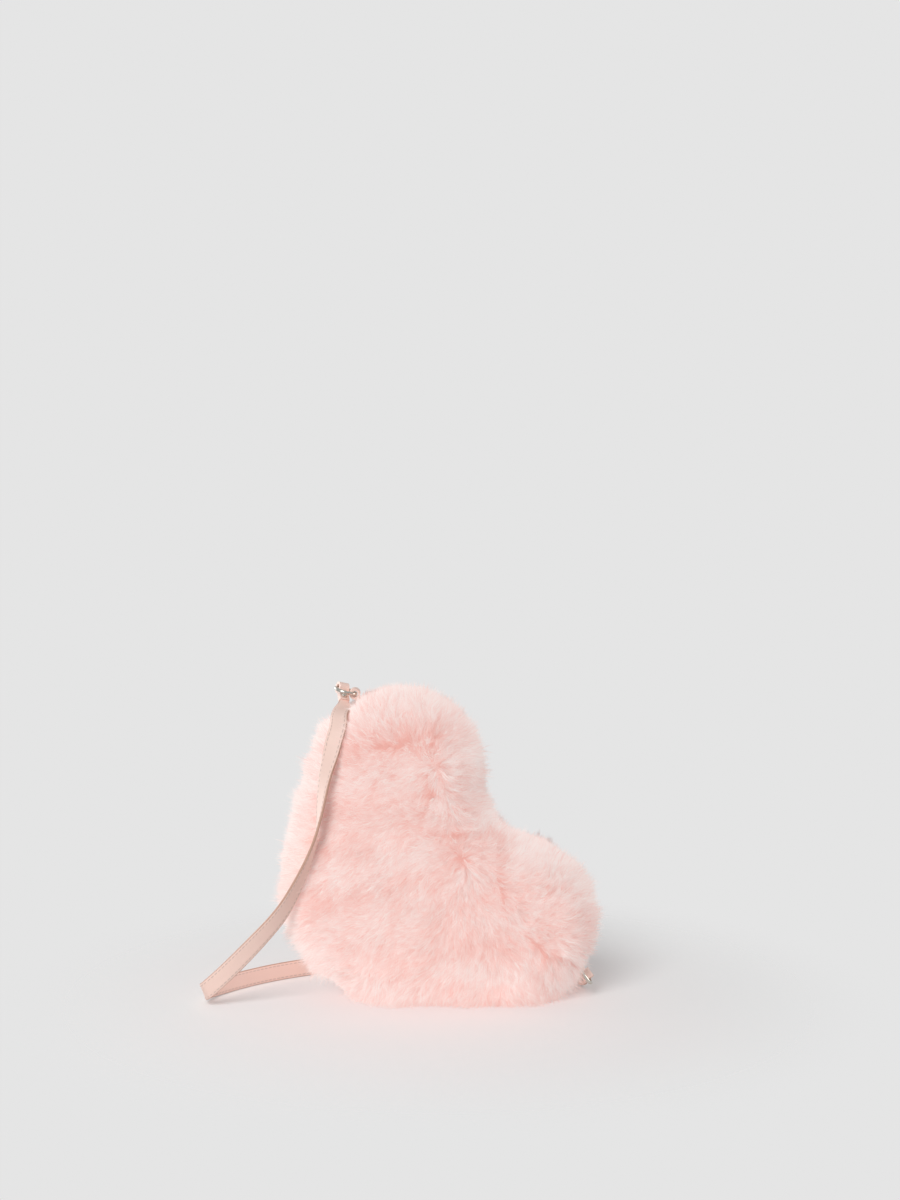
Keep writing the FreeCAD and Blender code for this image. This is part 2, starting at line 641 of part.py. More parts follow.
def loop_profile(body, name, wall, neck):
    """A strip folded round a hole at the origin, its two layers meeting in a neck below."""
    sketch = new_sketch(body, name, "XZ_Plane")
    hole, thick, drop = size("loop_hole"), number(wall), number(neck)
    outer = hole + thick
    level = -math.sqrt(outer**2 - thick**2)
    start = math.atan2(level, thick)
    circle = Part.Circle(Vector(), Vector(0, 0, 1), outer)
    sketch.addGeometry(Part.ArcOfCircle(circle, start, math.pi - start))
    corners = [Vector(x, y, 0) for x, y in ((-thick, level), (-thick, -drop), (thick, -drop), (thick, level))]
    for one, other in zip(corners, corners[1:]):
        sketch.addGeometry(Part.LineSegment(one, other))
    sketch.addGeometry(Part.Circle(Vector(), Vector(0, 0, 1), hole))
    for index in range(4):
        rule(sketch, "Coincident", index, 2, (index + 1) % 4, 1)
    rule(sketch, "Coincident", 0, 3, -1, 1)
    rule(sketch, "Coincident", 4, 3, -1, 1)
    rule(sketch, "Vertical", 1)
    rule(sketch, "Horizontal", 2)
    rule(sketch, "Vertical", 3)
    rule(sketch, "Radius", 0, outer, name="outer", to=f"sizes.loop_hole + {wall}")
    rule(sketch, "Radius", 4, hole, name="hole", to="sizes.loop_hole")
    rule(sketch, "DistanceX", 1, 1, -1, 1, thick, name="left", to=wall)
    rule(sketch, "DistanceX", -1, 1, 3, 1, thick, name="right", to=wall)
    rule(sketch, "DistanceY", 1, 2, -1, 1, drop, name="drop", to=neck)
    return sketch


def make_tab(name):
    """Leather tab folded round its ring and sewn to the fur's backing."""
    body = new_body(name)
    pad(body, loop_profile(body, f"{name}_fold", "sizes.tab_thickness", "sizes.tab_neck"), "sizes.tab_width",
        "Symmetric")
    return put(body, name)


def ring_frame(side):
    """Ring's centre, the direction from its tab across it, and its downward or outward normal."""
    angle = math.radians(size(f"{side}_ring_angle"))
    over = Vector(math.cos(angle), 0, math.sin(angle))
    seat = Vector(size(f"{side}_tab_x"), 0, size(f"{side}_tab_z"))
    return seat + over * size("tab_place"), over, over.cross(DEPTH_AXIS)


def make_ring(side):
    """Round wire ring through a tab and a strap end."""
    centre, over, normal = ring_frame(side)
    ring = doc.addObject("Part::Torus", f"{side}_ring")
    ring.setExpression("Radius1", "sizes.ring_radius")
    ring.setExpression("Radius2", "sizes.wire_radius")
    ring.Placement = Placement(centre, Rotation(over, DEPTH_AXIS, normal, "ZXY"))
    return ring


def strap_end_placement(side):
    """Strap end's own frame: its fold on the ring, its width along Y and its tongue along minus Z."""
    centre, over, normal = ring_frame(side)
    turn = math.radians(size(f"{side}_strap_turn"))
    drop = math.radians(size(f"{side}_strap_drop"))
    outward = over * math.cos(turn) + DEPTH_AXIS * math.sin(turn)
    width = DEPTH_AXIS * math.cos(turn) - over * math.sin(turn)
    away = outward * math.cos(drop) + normal * math.sin(drop)
    fold = centre + outward * size("end_place")
    return Placement(fold, Rotation(width.cross(-away), width, -away, "ZYX"))


def make_strap_end(side):
    """End of the strap folded back round the ring and closed by a rivet."""
    name = f"strap_{side}_end"
    body = new_body(name)
    pad(body, loop_profile(body, f"{name}_fold", "sizes.strap_thickness", "sizes.tongue_length"),
        "sizes.end_width", "Symmetric")
    pocket(body, disc(body, f"{name}_hole", "YZ_Plane", "sizes.rivet_post_radius + sizes.rivet_fit",
                      "-sizes.rivet_drop"))
    body.Placement = strap_end_placement(side)
    return body


def make_rivet(side, face):
    """Domed cap with its post, and the flat base on the other face of the strap end."""
    cap = new_body(f"{side}_rivet_cap")
    head = pad(cap, disc(cap, f"{side}_rivet_head", "XY_Plane", "sizes.rivet_head_radius"),
               "sizes.rivet_head_height")
    doc.recompute()
    top = size("rivet_head_height")
    fillet(cap, head, "sizes.rivet_fillet", lambda edge: edge.BoundBox.ZMin > top * BEND_SHARE
           and edge.BoundBox.ZLength < top * BEND_SHARE)
    pad(cap, disc(cap, f"{side}_rivet_post", "XY_Plane", "sizes.rivet_post_radius"),
        "sizes.rivet_grip + sizes.rivet_base_height", back=True)
    base = new_body(f"{side}_rivet_base")
    foot = disc(base, f"{side}_rivet_disc", "XY_Plane", "sizes.rivet_base_radius", lift="-sizes.rivet_grip")
    pad(base, foot, "sizes.rivet_base_height", back=True)
    pocket(base, disc(base, f"{side}_rivet_bore", "XY_Plane", "sizes.rivet_post_radius + sizes.rivet_fit"))
    seat = Placement(Vector(face * size("strap_thickness"), 0, -size("rivet_drop")),
                     Rotation(Vector(0, 0, 1), Vector(face, 0, 0)))
    for piece in (cap, base):
        piece.Placement = strap_end_placement(side).multiply(seat)
    return [cap, base]


def bent_path(points):
    """Straight runs joined by tangent arcs, as samples with their directions, and the arcs' radii."""
    samples = [(points[0], (points[1] - points[0]).normalize(), 0.0)]
    radii = []
    for index in range(1, len(points) - 1):
        before = points[index] - points[index - 1]
        after = points[index + 1] - points[index]
        run = min(before.Length, after.Length) * BEND_SHARE
        into, out = Vector(before).normalize(), Vector(after).normalize()
        turn = into.getAngle(out)
        radius = run / math.tan(turn / 2)
        radii.append(radius)
        axis = into.cross(out).normalize()
        inward = axis.cross(into)
        centre = points[index] - into * run + inward * radius
        steps = max(2, math.ceil(math.degrees(turn) / TURN_STEP))
        for step in range(steps + 1):
            part = turn * step / steps
            spin = Rotation(axis, math.degrees(part))
            spot = centre - spin.multVec(inward) * radius
            samples.append((spot, spin.multVec(into), index - 0.5 + step / steps))
    samples.append((points[-1], (points[-1] - points[-2]).normalize(), len(points) - 1.0))
    return samples, radii


def width_at(widths, place):
    """Width direction between two points of the route."""
    low = min(int(place), len(widths) - 2)
    return widths[low] * (low + 1 - place) + widths[low + 1] * (place - low)


def make_strap():
    """Flat strap from ring to ring: a ruled solid through flat sections that turn along the route."""
    ends = [strap_end_placement(side) for side in ("upper", "lower")]
    lead = Vector(0, 0, -size("tongue_length"))
    first, last = [end.multVec(lead) for end in ends]
    across_first, across_last = [end.Rotation.multVec(DEPTH_AXIS) for end in ends]
    if across_first.dot(Vector(*STRAP_ROUTE[0][1])) < 0:
        across_first = -across_first
    if across_last.dot(Vector(*STRAP_ROUTE[-1][1])) < 0:
        across_last = -across_last
    lead = Vector(0, 0, -size("tongue_length") - size("strap_lead"))
    leads = [end.multVec(lead) for end in ends]
    points = [first, leads[0]] + [Vector(*point) for point, _ in STRAP_ROUTE] + [leads[1], last]
    widths = [across_first] * 2 + [Vector(*width).normalize() for _, width in STRAP_ROUTE] + [across_last] * 2
    samples, radii = bent_path(points)
    print("strap bend radii", [round(radius, 1) for radius in radii])
    sections, length = [], 0.0
    filled = [samples[0]]
    for one, other in zip(samples, samples[1:]):
        swing = math.degrees(width_at(widths, one[2]).getAngle(width_at(widths, other[2])))
        parts = max(1, math.ceil(swing / TWIST_STEP))
        for part in range(1, parts + 1):
            share = part / parts
            filled.append(tuple(a * (1 - share) + b * share for a, b in zip(one, other)))
    taper = size("strap_width")
    for index, (point, along, place) in enumerate(filled):
        if index:
            length += point.distanceToPoint(filled[index - 1][0])
        along = Vector(along).normalize()
        width = width_at(widths, place)
        width = (width - along * width.dot(along)).normalize()
        thick = along.cross(width)
        sections.append((point, width, thick, length))
    wires = []
    for point, width, thick, place in sections:
        near_end = min(1.0, min(place, length - place) / taper)
        half = (size("end_width") + (size("strap_width") - size("end_width")) * near_end) / 2
        side, face = width * half, thick * (size("strap_thickness") / 2)
        corners = [point + side + face, point - side + face, point - side - face, point + side - face]
        wires.append(Part.makePolygon(corners + corners[:1]))
    strap = doc.addObject("Part::Feature", "shoulder_strap")
    strap.Shape = Part.makeLoft(wires, True, True)
    section = size("strap_width") * size("strap_thickness")
    print("strap length", round(length, 1), "volume over section", round(strap.Shape.Volume / section, 1))
    print("strap ends", first, leads, last, across_first, across_last)
    return strap


def make_parts():
    """Every sub-part of the purse."""
    pieces = make_fur() + make_padding() + make_lining() + make_tapes()
    pieces += [make_teeth("zip_teeth_upper", "1", "0"), make_teeth("zip_teeth_lower", "-1", "0.5")]
    pieces += make_stops() + [make_slider(), make_pull()]
    pieces += [make_tab("upper_tab"), make_tab("lower_tab"), make_ring("upper"), make_ring("lower")]
    pieces += [make_strap_end("upper"), make_strap_end("lower")]
    pieces += make_rivet("upper", 1) + make_rivet("lower", 1) + [make_strap()]
    return pieces


pieces = make_parts()
doc.recompute()
for thing in doc.Objects:
    if "Invalid" in thing.State or "Error" in thing.State:
        raise RuntimeError(f"{thing.Name} failed: {thing.State}")
os.makedirs("parts", exist_ok=True)
for piece in pieces:
    piece.Label = piece.Name
    if piece.Shape.isNull() or not piece.Shape.isValid() or piece.Shape.Volume <= 0:
        raise RuntimeError(f"{piece.Name} has no valid shape")
    print(piece.Label, len(piece.Shape.Solids), round(piece.Shape.Volume, 1))
for piece in pieces:
    piece.Shape.exportStep(f"parts/{piece.Label}.step")
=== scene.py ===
"""Looks of a heart shaped fur purse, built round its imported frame: fur, strap, metal, zip and stage."""

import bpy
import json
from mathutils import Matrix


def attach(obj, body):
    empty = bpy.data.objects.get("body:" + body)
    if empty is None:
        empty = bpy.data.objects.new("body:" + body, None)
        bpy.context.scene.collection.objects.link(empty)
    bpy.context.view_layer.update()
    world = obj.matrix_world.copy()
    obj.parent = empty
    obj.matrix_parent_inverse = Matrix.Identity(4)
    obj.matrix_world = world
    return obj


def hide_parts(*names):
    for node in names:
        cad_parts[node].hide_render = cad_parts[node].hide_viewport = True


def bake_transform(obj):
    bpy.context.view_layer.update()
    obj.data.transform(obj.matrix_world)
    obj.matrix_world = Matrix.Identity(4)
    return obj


bl_info = {
    "name": "Heart purse",
    "version": (1, 0, 0),
    "blender": (4, 5, 0),
    "location": "View3D > Sidebar > Purse",
    "description": "Dresses the frame of a heart shaped purse in fur, leather and metal",
    "category": "Object",
}

import json
import math

import bmesh
import bpy
import numpy as np
from mathutils import Matrix, Vector

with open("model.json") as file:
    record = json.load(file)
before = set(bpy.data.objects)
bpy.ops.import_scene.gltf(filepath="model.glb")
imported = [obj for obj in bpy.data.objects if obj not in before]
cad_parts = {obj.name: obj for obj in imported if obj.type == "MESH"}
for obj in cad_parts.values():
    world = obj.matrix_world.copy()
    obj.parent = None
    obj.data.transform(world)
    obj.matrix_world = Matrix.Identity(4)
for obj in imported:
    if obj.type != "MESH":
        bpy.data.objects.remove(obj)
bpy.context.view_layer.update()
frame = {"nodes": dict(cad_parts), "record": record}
JOINTS = {joint["name"]: joint for joint in frame["record"]["behaviour"]["joints"]}
MM = 0.001
SEED = 11

# Heart outline in its own upright frame, in millimetres: the pile's reach, just outside the frame's solids.
LOBE_SPREAD, LOBE_RISE, LOBE_RADIUS = 55.5, 111.0, 53.0
TIP_RADIUS, NOTCH_RADIUS = 77.0, 33.0
TILT = math.radians(53.1301)
STAND_X, STAND_Z = -79.85, 26.3
HALF_DEPTH, EDGE_RADIUS, SEAM = 35.0, 28.0, 14.0

# Route of the strap's middle line and the direction of its width, in millimetres, from ring to ring.
STRAP_ROUTE = [
    ((-55.35, -1.17, 177.77), (-0.871, -0.423, 0.250)),
    ((-54.75, -4.30, 174.59), (-0.871, -0.423, 0.250)),
    ((-57.6, -19.0, 173.4), (-0.95, 0.12, -0.28)),
    ((-57.4, -29.0, 168.0), (-0.95, 0.12, -0.28)),
    ((-59.8, -33.0, 160.6), (-0.93, 0.32, -0.12)),
    ((-61.7, -34.3, 152.6), (-0.86, 0.50, 0.05)),
    ((-65.4, -36.4, 139.5), (-0.64, 0.77, 0.00)),
    ((-68.0, -39.2, 120.0), (-0.34, 0.94, 0.00)),
    ((-71.0, -40.2, 100.5), (0.22, 0.97, -0.08)),
    ((-79.5, -38.6, 79.5), (0.47, 0.82, -0.30)),
    ((-90.5, -35.0, 58.5), (0.60, 0.57, -0.55)),
    ((-108.8, -30.5, 37.5), (0.71, 0.22, -0.67)),
    ((-125.0, -27.5, 20.5), (0.71, 0.05, -0.70)),
    ((-136.5, -24.5, 9.6), (0.50, 0.00, -0.87)),
    ((-138.2, -13.0, 6.8), (0.22, 0.00, -0.98)),
    ((-130.5, 1.0, 5.8), (0.06, 0.00, -1.00)),
    ((-118.0, 17.0, 5.5), (0.00, 0.00, -1.00)),
    ((-101.0, 33.0, 5.5), (0.00, 0.00, -1.00)),
    ((-78.0, 48.0, 5.5), (0.00, 0.00, -1.00)),
    ((-50.0, 60.0, 5.5), (0.00, 0.00, -1.00)),
    ((-18.0, 67.0, 5.5), (0.00, 0.00, -1.00)),
    ((14.0, 67.0, 5.5), (0.00, 0.00, -1.00)),
    ((43.0, 59.0, 5.5), (0.00, 0.00, -1.00)),
    ((66.0, 45.0, 5.5), (0.05, 0.00, -1.00)),
    ((81.5, 29.0, 5.6), (0.20, 0.00, -0.98)),
    ((85.92, 17.02, 5.31), (0.566, -0.342, -0.750)),
    ((86.41, 13.10, 7.47), (0.566, -0.342, -0.750)),
]

# How the fur is combed over the front: place and direction, in the plane of the face.
COMBED = [
    (-25, 182, 0.1, 1.0),
    (-62, 160, -0.7, 0.5),
    (-30, 172, -0.2, 0.9),
    (-10, 168, 0.3, 0.8),
    (18, 165, 0.8, 0.6),
    (22, 130, 0.9, -0.1),
    (-45, 140, -0.7, -0.6),
    (-75, 115, -0.9, -0.5),
    (-22, 146, -0.5, -0.8),
    (-20, 122, -0.7, -0.6),
    (-26, 103, -0.95, -0.25),
    (-48, 95, -0.8, -0.55),
    (-85, 70, -0.9, -0.4),
    (-8, 84, -0.75, -0.55),
    (-50, 50, -0.8, -0.6),
    (-65, 25, -0.7, -0.7),
    (-10, 45, -0.4, -0.9),
    (0, 12, -0.1, -1.0),
    (28, 102, 0.5, 0.8),
    (55, 98, 0.4, 0.9),
    (30, 60, 0.5, -0.7),
    (60, 62, 0.9, 0.1),
    (88, 60, 1.0, 0.2),
    (75, 25, 0.8, -0.6),
    (40, 25, 0.4, -0.9),
]

# Lines on the front where the pile parts and the roots' deeper colour shows, with painted shade in the
# partings.
PARTINGS = [
    [(-36, 155), (-20, 157), (-3, 159)],
    [(-4, 160), (-7, 146), (-3, 132), (-6, 118), (-3, 104)],
    [(-28, 144), (-16, 139)],
    [(-33, 138), (-31, 122)],
    [(-5, 107), (14, 102), (34, 95)],
    [(30, 97), (33, 78), (38, 58)],
    [(50, 44), (60, 36), (72, 30)],
    [(62, 69), (80, 64)],
]

# Places where the pile is longer or shorter than elsewhere: middle, reach and change.
TUFTS = [
    ((-92, 0, 30), 18, 0.4),
    ((76, -10, 12), 14, 0.4),
    ((-33, 16, 180), 17, -0.45),
    ((58, 14, 90), 20, -0.2),
]

# Depth at which the pile of the side strip meets, combed there from both faces.
MEETING = 23.0


class PurseFur(bpy.types.PropertyGroup):
    """Sizes and colours of the fur."""

    pile: bpy.props.FloatProperty(
        name="Pile", description="Length of a strand", default=0.0125, min=0.002, unit="LENGTH"
    )
    strand: bpy.props.FloatProperty(
        name="Strand", description="Width of a strand at its root", default=0.00027, min=0.0001, unit="LENGTH"
    )
    locks: bpy.props.IntProperty(name="Locks", description="Number of locks of fur", default=68000, min=100)
    per_lock: bpy.props.IntProperty(name="Strands", description="Strands in a lock", default=8, min=3)
    tip: bpy.props.FloatVectorProperty(
        name="Tip colour",
        description="Colour at the tips",
        default=(0.985, 0.85, 0.812),
        size=3,
        subtype="COLOR",
    )
    # The root colour is deep pink, partly the fur's own and partly painted shade of the pile's depth.
    root: bpy.props.FloatVectorProperty(
        name="Root colour",
        description="Colour at the roots",
        default=(0.90, 0.45, 0.39),
        size=3,
        subtype="COLOR",
    )


class PurseStrap(bpy.types.PropertyGroup):
    """Sizes and colours of the strap and the other leather."""

    width: bpy.props.FloatProperty(
        name="Width", description="Width of the strap", default=0.0104, min=0.002, unit="LENGTH"
    )
    end_width: bpy.props.FloatProperty(
        name="End width",
        description="Width where it meets its folded ends",
        default=0.006,
        min=0.002,
        unit="LENGTH",
    )
    thickness: bpy.props.FloatProperty(
        name="Thickness", description="Thickness of the strap", default=0.0015, min=0.0005, unit="LENGTH"
    )
    stitch: bpy.props.FloatProperty(
        name="Stitch", description="Distance from stitch to stitch", default=0.003, min=0.001, unit="LENGTH"
    )
    leather: bpy.props.FloatVectorProperty(
        name="Leather",
        description="Colour of the leather",
        default=(0.83, 0.61, 0.535),
        size=3,
        subtype="COLOR",
    )
    edge: bpy.props.FloatVectorProperty(
        name="Edge",
        description="Colour of the cut edge",
        default=(0.42, 0.25, 0.19),
        size=3,
        subtype="COLOR",
    )


class PurseStage(bpy.types.PropertyGroup):
    """Light and floor."""

    pale: bpy.props.FloatVectorProperty(
        name="Background",
        description="Colour behind the purse",
        default=(0.783, 0.783, 0.783),
        size=3,
        subtype="COLOR",
    )
    floor: bpy.props.FloatVectorProperty(
        name="Floor",
        description="Colour of the floor under the purse",
        default=(0.825, 0.825, 0.825),
        size=3,
        subtype="COLOR",
    )
    key: bpy.props.FloatProperty(
        name="Key", description="Power of the main soft light", default=36.5, min=0.0
    )
    fill: bpy.props.FloatProperty(
        name="Fill", description="Strength of the light all round", default=0.37, min=0.0
    )
    mirrored: bpy.props.FloatProperty(
        name="Mirrored", description="Brightness that metal mirrors", default=0.6, min=0.0
    )


class Shade:
    """A socket with arithmetic that adds Math nodes."""

    def __init__(self, finish, socket):
        self.finish = finish
        self.socket = socket

    def other(self, output):
        """Another output of the same node."""
        return Shade(self.finish, self.socket.node.outputs[output])

    def _math(self, operation, *values):
        return self.finish.node("ShaderNodeMath", {"operation": operation}, dict(enumerate(values)))

    def __add__(self, other):
        return self._math("ADD", self, other)

    __radd__ = __add__

    def __sub__(self, other):
        return self._math("SUBTRACT", self, other)

    def __rsub__(self, other):
        return self._math("SUBTRACT", other, self)

    def __mul__(self, other):
        return self._math("MULTIPLY", self, other)

    __rmul__ = __mul__


# Sockets of the Mix node that hold its factor, its two colours and their mix.
MIX_FACTOR, MIX_ONE, MIX_OTHER, MIX_RESULT = 0, 6, 7, 2


class Finish:
    """A material, or a world, made of nodes, with one method that adds any node."""

    def __init__(self, owner):
        self.owner = owner
        owner.use_nodes = True
        self.tree = owner.node_tree
        self.tree.nodes.clear()

    def node(self, kind, settings=None, inputs=None, output=0):
        """Adds a node, sets it up, then fills its sockets with values or links."""
        made = self.tree.nodes.new(kind)
        for key, value in (settings or {}).items():
            setattr(made, key, value)
        for key, value in (inputs or {}).items():
            if isinstance(value, Shade):
                self.tree.links.new(value.socket, made.inputs[key])
            elif hasattr(value, "__len__") and made.inputs[key].type == "RGBA":
                made.inputs[key].default_value = (*value[:3], 1.0)
            else:
                made.inputs[key].default_value = value
        return Shade(self, made.outputs[output]) if made.outputs else None

    def place(self):
        """Object coordinates, in metres."""
        return self.node("ShaderNodeTexCoord", output="Object")

    def noise(self, scale, detail):
        """Soft noise from 0 to 1."""
        return self.node(
            "ShaderNodeTexNoise", None, {"Vector": self.place(), "Scale": scale, "Detail": detail}
        )

    def threads(self, way, scale, distortion):
        """Even bands, like threads that lie side by side."""
        return self.node(
            "ShaderNodeTexWave",
            {"wave_type": "BANDS", "bands_direction": way},
            {"Vector": self.place(), "Scale": scale, "Distortion": distortion},
        )

    def mix(self, factor, one, other):
        """Mixes two colours."""
        inputs = {MIX_FACTOR: factor, MIX_ONE: one, MIX_OTHER: other}
        return self.node("ShaderNodeMix", {"data_type": "RGBA"}, inputs, output=MIX_RESULT)

    def bump(self, height, distance):
        """Raised and sunken detail."""
        return self.node("ShaderNodeBump", None, {"Height": height, "Distance": distance, "Strength": 1.0})

    def surface(self, **inputs):
        """Ends the material in one shader; names have underscores for spaces."""
        sockets = {name.replace("_", " "): value for name, value in inputs.items()}
        shader = self.node("ShaderNodeBsdfPrincipled", None, sockets)
        self.node("ShaderNodeOutputMaterial", None, {"Surface": shader})
        return self.owner


def new_finish(name):
    """An empty material to fill with nodes."""
    return Finish(bpy.data.materials.new(name))


def darker(colour, share):
    """A colour times a share."""
    return [channel * share for channel in colour]


def new_piece(name, mesh, *materials):
    """Links a mesh into the scene as a piece with its materials."""
    piece = bpy.data.objects.new(name, mesh)
    bpy.context.scene.collection.objects.link(piece)
    for material in materials:
        mesh.materials.append(material)
    return piece


def from_bmesh(name, bm, *materials, smooth=True):
    """Ends a bmesh as a piece."""
    mesh = bpy.data.meshes.new(name)
    for face in bm.faces:
        face.smooth = smooth and len(face.verts) < 5
    bm.to_mesh(mesh)
    bm.free()
    return new_piece(name, mesh, *materials)


def grid(bm, spots):
    """A grid of faces whose corners are put at the given places; returns the column of each corner."""
    rows, columns = spots.shape[:2]
    placed = {}
    for vert in bmesh.ops.create_grid(bm, x_segments=rows - 1, y_segments=columns - 1, size=0.5)["verts"]:
        row = round((vert.co.x + 0.5) * (rows - 1))
        placed[vert] = round((vert.co.y + 0.5) * (columns - 1))
        vert.co = spots[row, placed[vert]]
    return placed


def unit(vectors):
    """Vectors of length one."""
    return vectors / np.maximum(np.linalg.norm(vectors, axis=-1, keepdims=True), 1e-12)


def step(low, high, value):
    """Smooth rise from 0 to 1."""
    share = np.clip((value - low) / (high - low), 0, 1)
    return share * share * (3 - 2 * share)


# Pace, shift and height of the waves that a random field adds up.
WAVE_PACE, WAVE_SHIFT, WAVE_HEIGHT = 2.2, 9, 1.6


def waves(places, scale, rng, count=10):
    """Smooth random field over places in millimetres, about -1 to 1."""
    field = np.zeros(len(places))
    for turn in rng.normal(size=(count, 4)):
        field += np.sin(places @ (turn[:3] * WAVE_PACE / scale) + turn[3] * WAVE_SHIFT)
    return field / math.sqrt(count / 2) / WAVE_HEIGHT


# Places taken on each arc of the outline, before they are spaced evenly.
ARC_STEPS = 160


def heart_outline(count):
    """Places and outward directions round the standing heart, in the plane of its face."""
    notch_rise = LOBE_RISE + math.sqrt((LOBE_RADIUS + NOTCH_RADIUS) ** 2 - LOBE_SPREAD**2)
    flank = TILT - math.pi / 2
    lean = math.atan2(notch_rise - LOBE_RISE, -LOBE_SPREAD)
    arcs = [
        (LOBE_SPREAD, LOBE_RISE, LOBE_RADIUS, flank, lean, 1),
        (0, notch_rise, NOTCH_RADIUS, lean - math.pi, -lean, -1),
        (-LOBE_SPREAD, LOBE_RISE, LOBE_RADIUS, math.pi - lean, math.pi - flank, 1),
        (0, TIP_RADIUS, TIP_RADIUS, math.pi - flank, 2 * math.pi + flank, 1),
    ]
    spots, normals = [], []
    for u, v, radius, start, end, sign in arcs:
        turn = np.linspace(start, end, ARC_STEPS)
        way = np.stack([np.cos(turn), np.sin(turn)], 1)
        spots.append(np.array([u, v]) + radius * way)
        normals.append(sign * way)
    spots, normals = np.concatenate(spots), np.concatenate(normals)
    spots, normals = np.concatenate([spots, spots[:1]]), np.concatenate([normals, normals[:1]])
    along = np.concatenate([[0], np.cumsum(np.linalg.norm(np.diff(spots, axis=0), axis=1))])
    wanted = np.linspace(0, along[-1], count, endpoint=False)
    spots = np.stack([np.interp(wanted, along, spots[:, i]) for i in (0, 1)], 1)
    normals = unit(np.stack([np.interp(wanted, along, normals[:, i]) for i in (0, 1)], 1))
    turn = np.array([[math.cos(TILT), -math.sin(TILT)], [math.sin(TILT), math.cos(TILT)]])
    return spots @ turn + np.array([STAND_X, STAND_Z]), normals @ turn


# The zip's middle on the back, its directions and the slot for it in the skin, in millimetres.
ZIP_RISE, ZIP_DEPTH = 98.0, 25.0
ZIP_MIDDLE = np.array([STAND_X + ZIP_RISE * math.sin(TILT), ZIP_DEPTH, STAND_Z + ZIP_RISE * math.cos(TILT)])
ZIP_ALONG = np.array([math.cos(TILT), 0, -math.sin(TILT)])
ZIP_ACROSS = np.array([math.sin(TILT), 0, math.cos(TILT)])
SLOT_HALF_WIDTH, SLOT_HALF_LENGTH = 6.5, 56.0
SLOT_GAP = 0.1

# How far the skin lies inside the pile's reach at the rim and on the faces, and the swelling of the front
# and the hollow of the back at steps in from the rim, in millimetres.
SKIN_INSET, FACE_INSET = 10.0, 6.4
FRONT_SWELL = [(6, 0.4), (14, 0.7), (22, 0.8)]
BACK_SWELL = [(6, -0.8), (14, -1.8), (22, -2.2)]
RIM_DEGREES = range(0, 91, 10)
OUTLINE_COUNT = 220

# The skin's underside sits lower by this much, from the share of its direction that faces down.
UNDER_DROP, UNDER_REACH = 3.5, (0.75, 1)


def pillow_profile():
    """Inset and depth of the skin's loops from the back face over the rim to the front face."""
    edge, half = EDGE_RADIUS - SKIN_INSET, HALF_DEPTH - FACE_INSET
    turns = np.radians(RIM_DEGREES)
    rim = [(edge * (1 - math.cos(turn)), half - edge + edge * math.sin(turn)) for turn in turns]
    crown = [(edge + inset, half + swell) for inset, swell in FRONT_SWELL]
    hollow = [(edge + inset, half + swell) for inset, swell in BACK_SWELL]
    return (rim + hollow)[::-1] + [(inset, -depth) for inset, depth in rim + crown]


def make_skin(material):
    """Padded skin that the fur grows from, open along the zip."""
    outline, outward = heart_outline(OUTLINE_COUNT)
    loops = []
    for inset, depth in pillow_profile():
        flat = outline - outward * (inset + SKIN_INSET)
        flat[:, 1] -= UNDER_DROP * step(*UNDER_REACH, -outward[:, 1])
        loops.append(np.stack([flat[:, 0], np.full(len(flat), depth), flat[:, 1]], 1))
    loops = np.array(loops)
    loops = np.concatenate([loops, loops[:, :1]], 1)
    bm = bmesh.new()
    grid(bm, loops)
    bmesh.ops.remove_doubles(bm, verts=bm.verts, dist=1e-4)
    bmesh.ops.holes_fill(bm, edges=[edge for edge in bm.edges if edge.is_boundary], sides=0)
    bmesh.ops.triangulate(bm, faces=[face for face in bm.faces if len(face.verts) > 4])
    bmesh.ops.recalc_face_normals(bm, faces=bm.faces)
    for way, reach in ((ZIP_ALONG, SLOT_HALF_LENGTH), (ZIP_ACROSS, SLOT_HALF_WIDTH)):
        for sign in (1, -1):
            back = [face for face in bm.faces if face.calc_center_median().y > HALF_DEPTH / 2]
            near = dict.fromkeys(item for face in back for item in (*face.verts, *face.edges))
            bmesh.ops.bisect_plane(
                bm, geom=back + list(near), dist=1e-5, plane_co=ZIP_MIDDLE + way * reach * sign, plane_no=way
            )
    slot = []
    for face in bm.faces:
        spot = np.array(face.calc_center_median()) - ZIP_MIDDLE
        if spot[1] > -HALF_DEPTH / 2 and abs(spot @ ZIP_ALONG) < SLOT_HALF_LENGTH:
            if abs(spot @ ZIP_ACROSS) < SLOT_HALF_WIDTH:
                slot.append(face)
    bmesh.ops.delete(bm, geom=slot, context="FACES")
    rim = [edge for edge in bm.edges if edge.is_boundary]
    for item in bmesh.ops.extrude_edge_only(bm, edges=rim)["geom"]:
        if isinstance(item, bmesh.types.BMVert):
            item.co.y = ZIP_DEPTH - SLOT_GAP
    bmesh.ops.recalc_face_normals(bm, faces=bm.faces)
    bmesh.ops.scale(bm, vec=(MM, MM, MM), verts=bm.verts)
    skin = from_bmesh("fur_skin", bm, material)
    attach(skin, "bag")
    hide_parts("front_fur_panel", "fur_gusset", "back_fur_panel")
    return skin


def tab_frame(joint, angle):
    """Middle of a tab's loop and its radial and flank directions, in millimetres."""
    hinge = np.array(JOINTS[joint]["pos_m"]) / MM
    radial = np.array([math.sin(angle), 0, math.cos(angle)])
    return hinge, radial, np.array([math.cos(angle), 0, -math.sin(angle)])


# Degrees by which the tabs lean from the line through both lobes.
UPPER_TAB_LEAN, LOWER_TAB_LEAN = 8, 16
TABS = [
    tab_frame("upper_ring_swing", TILT - math.pi / 2 + math.radians(UPPER_TAB_LEAN)),
    tab_frame("lower_ring_swing", TILT + math.pi / 2 - math.radians(LOWER_TAB_LEAN)),
]


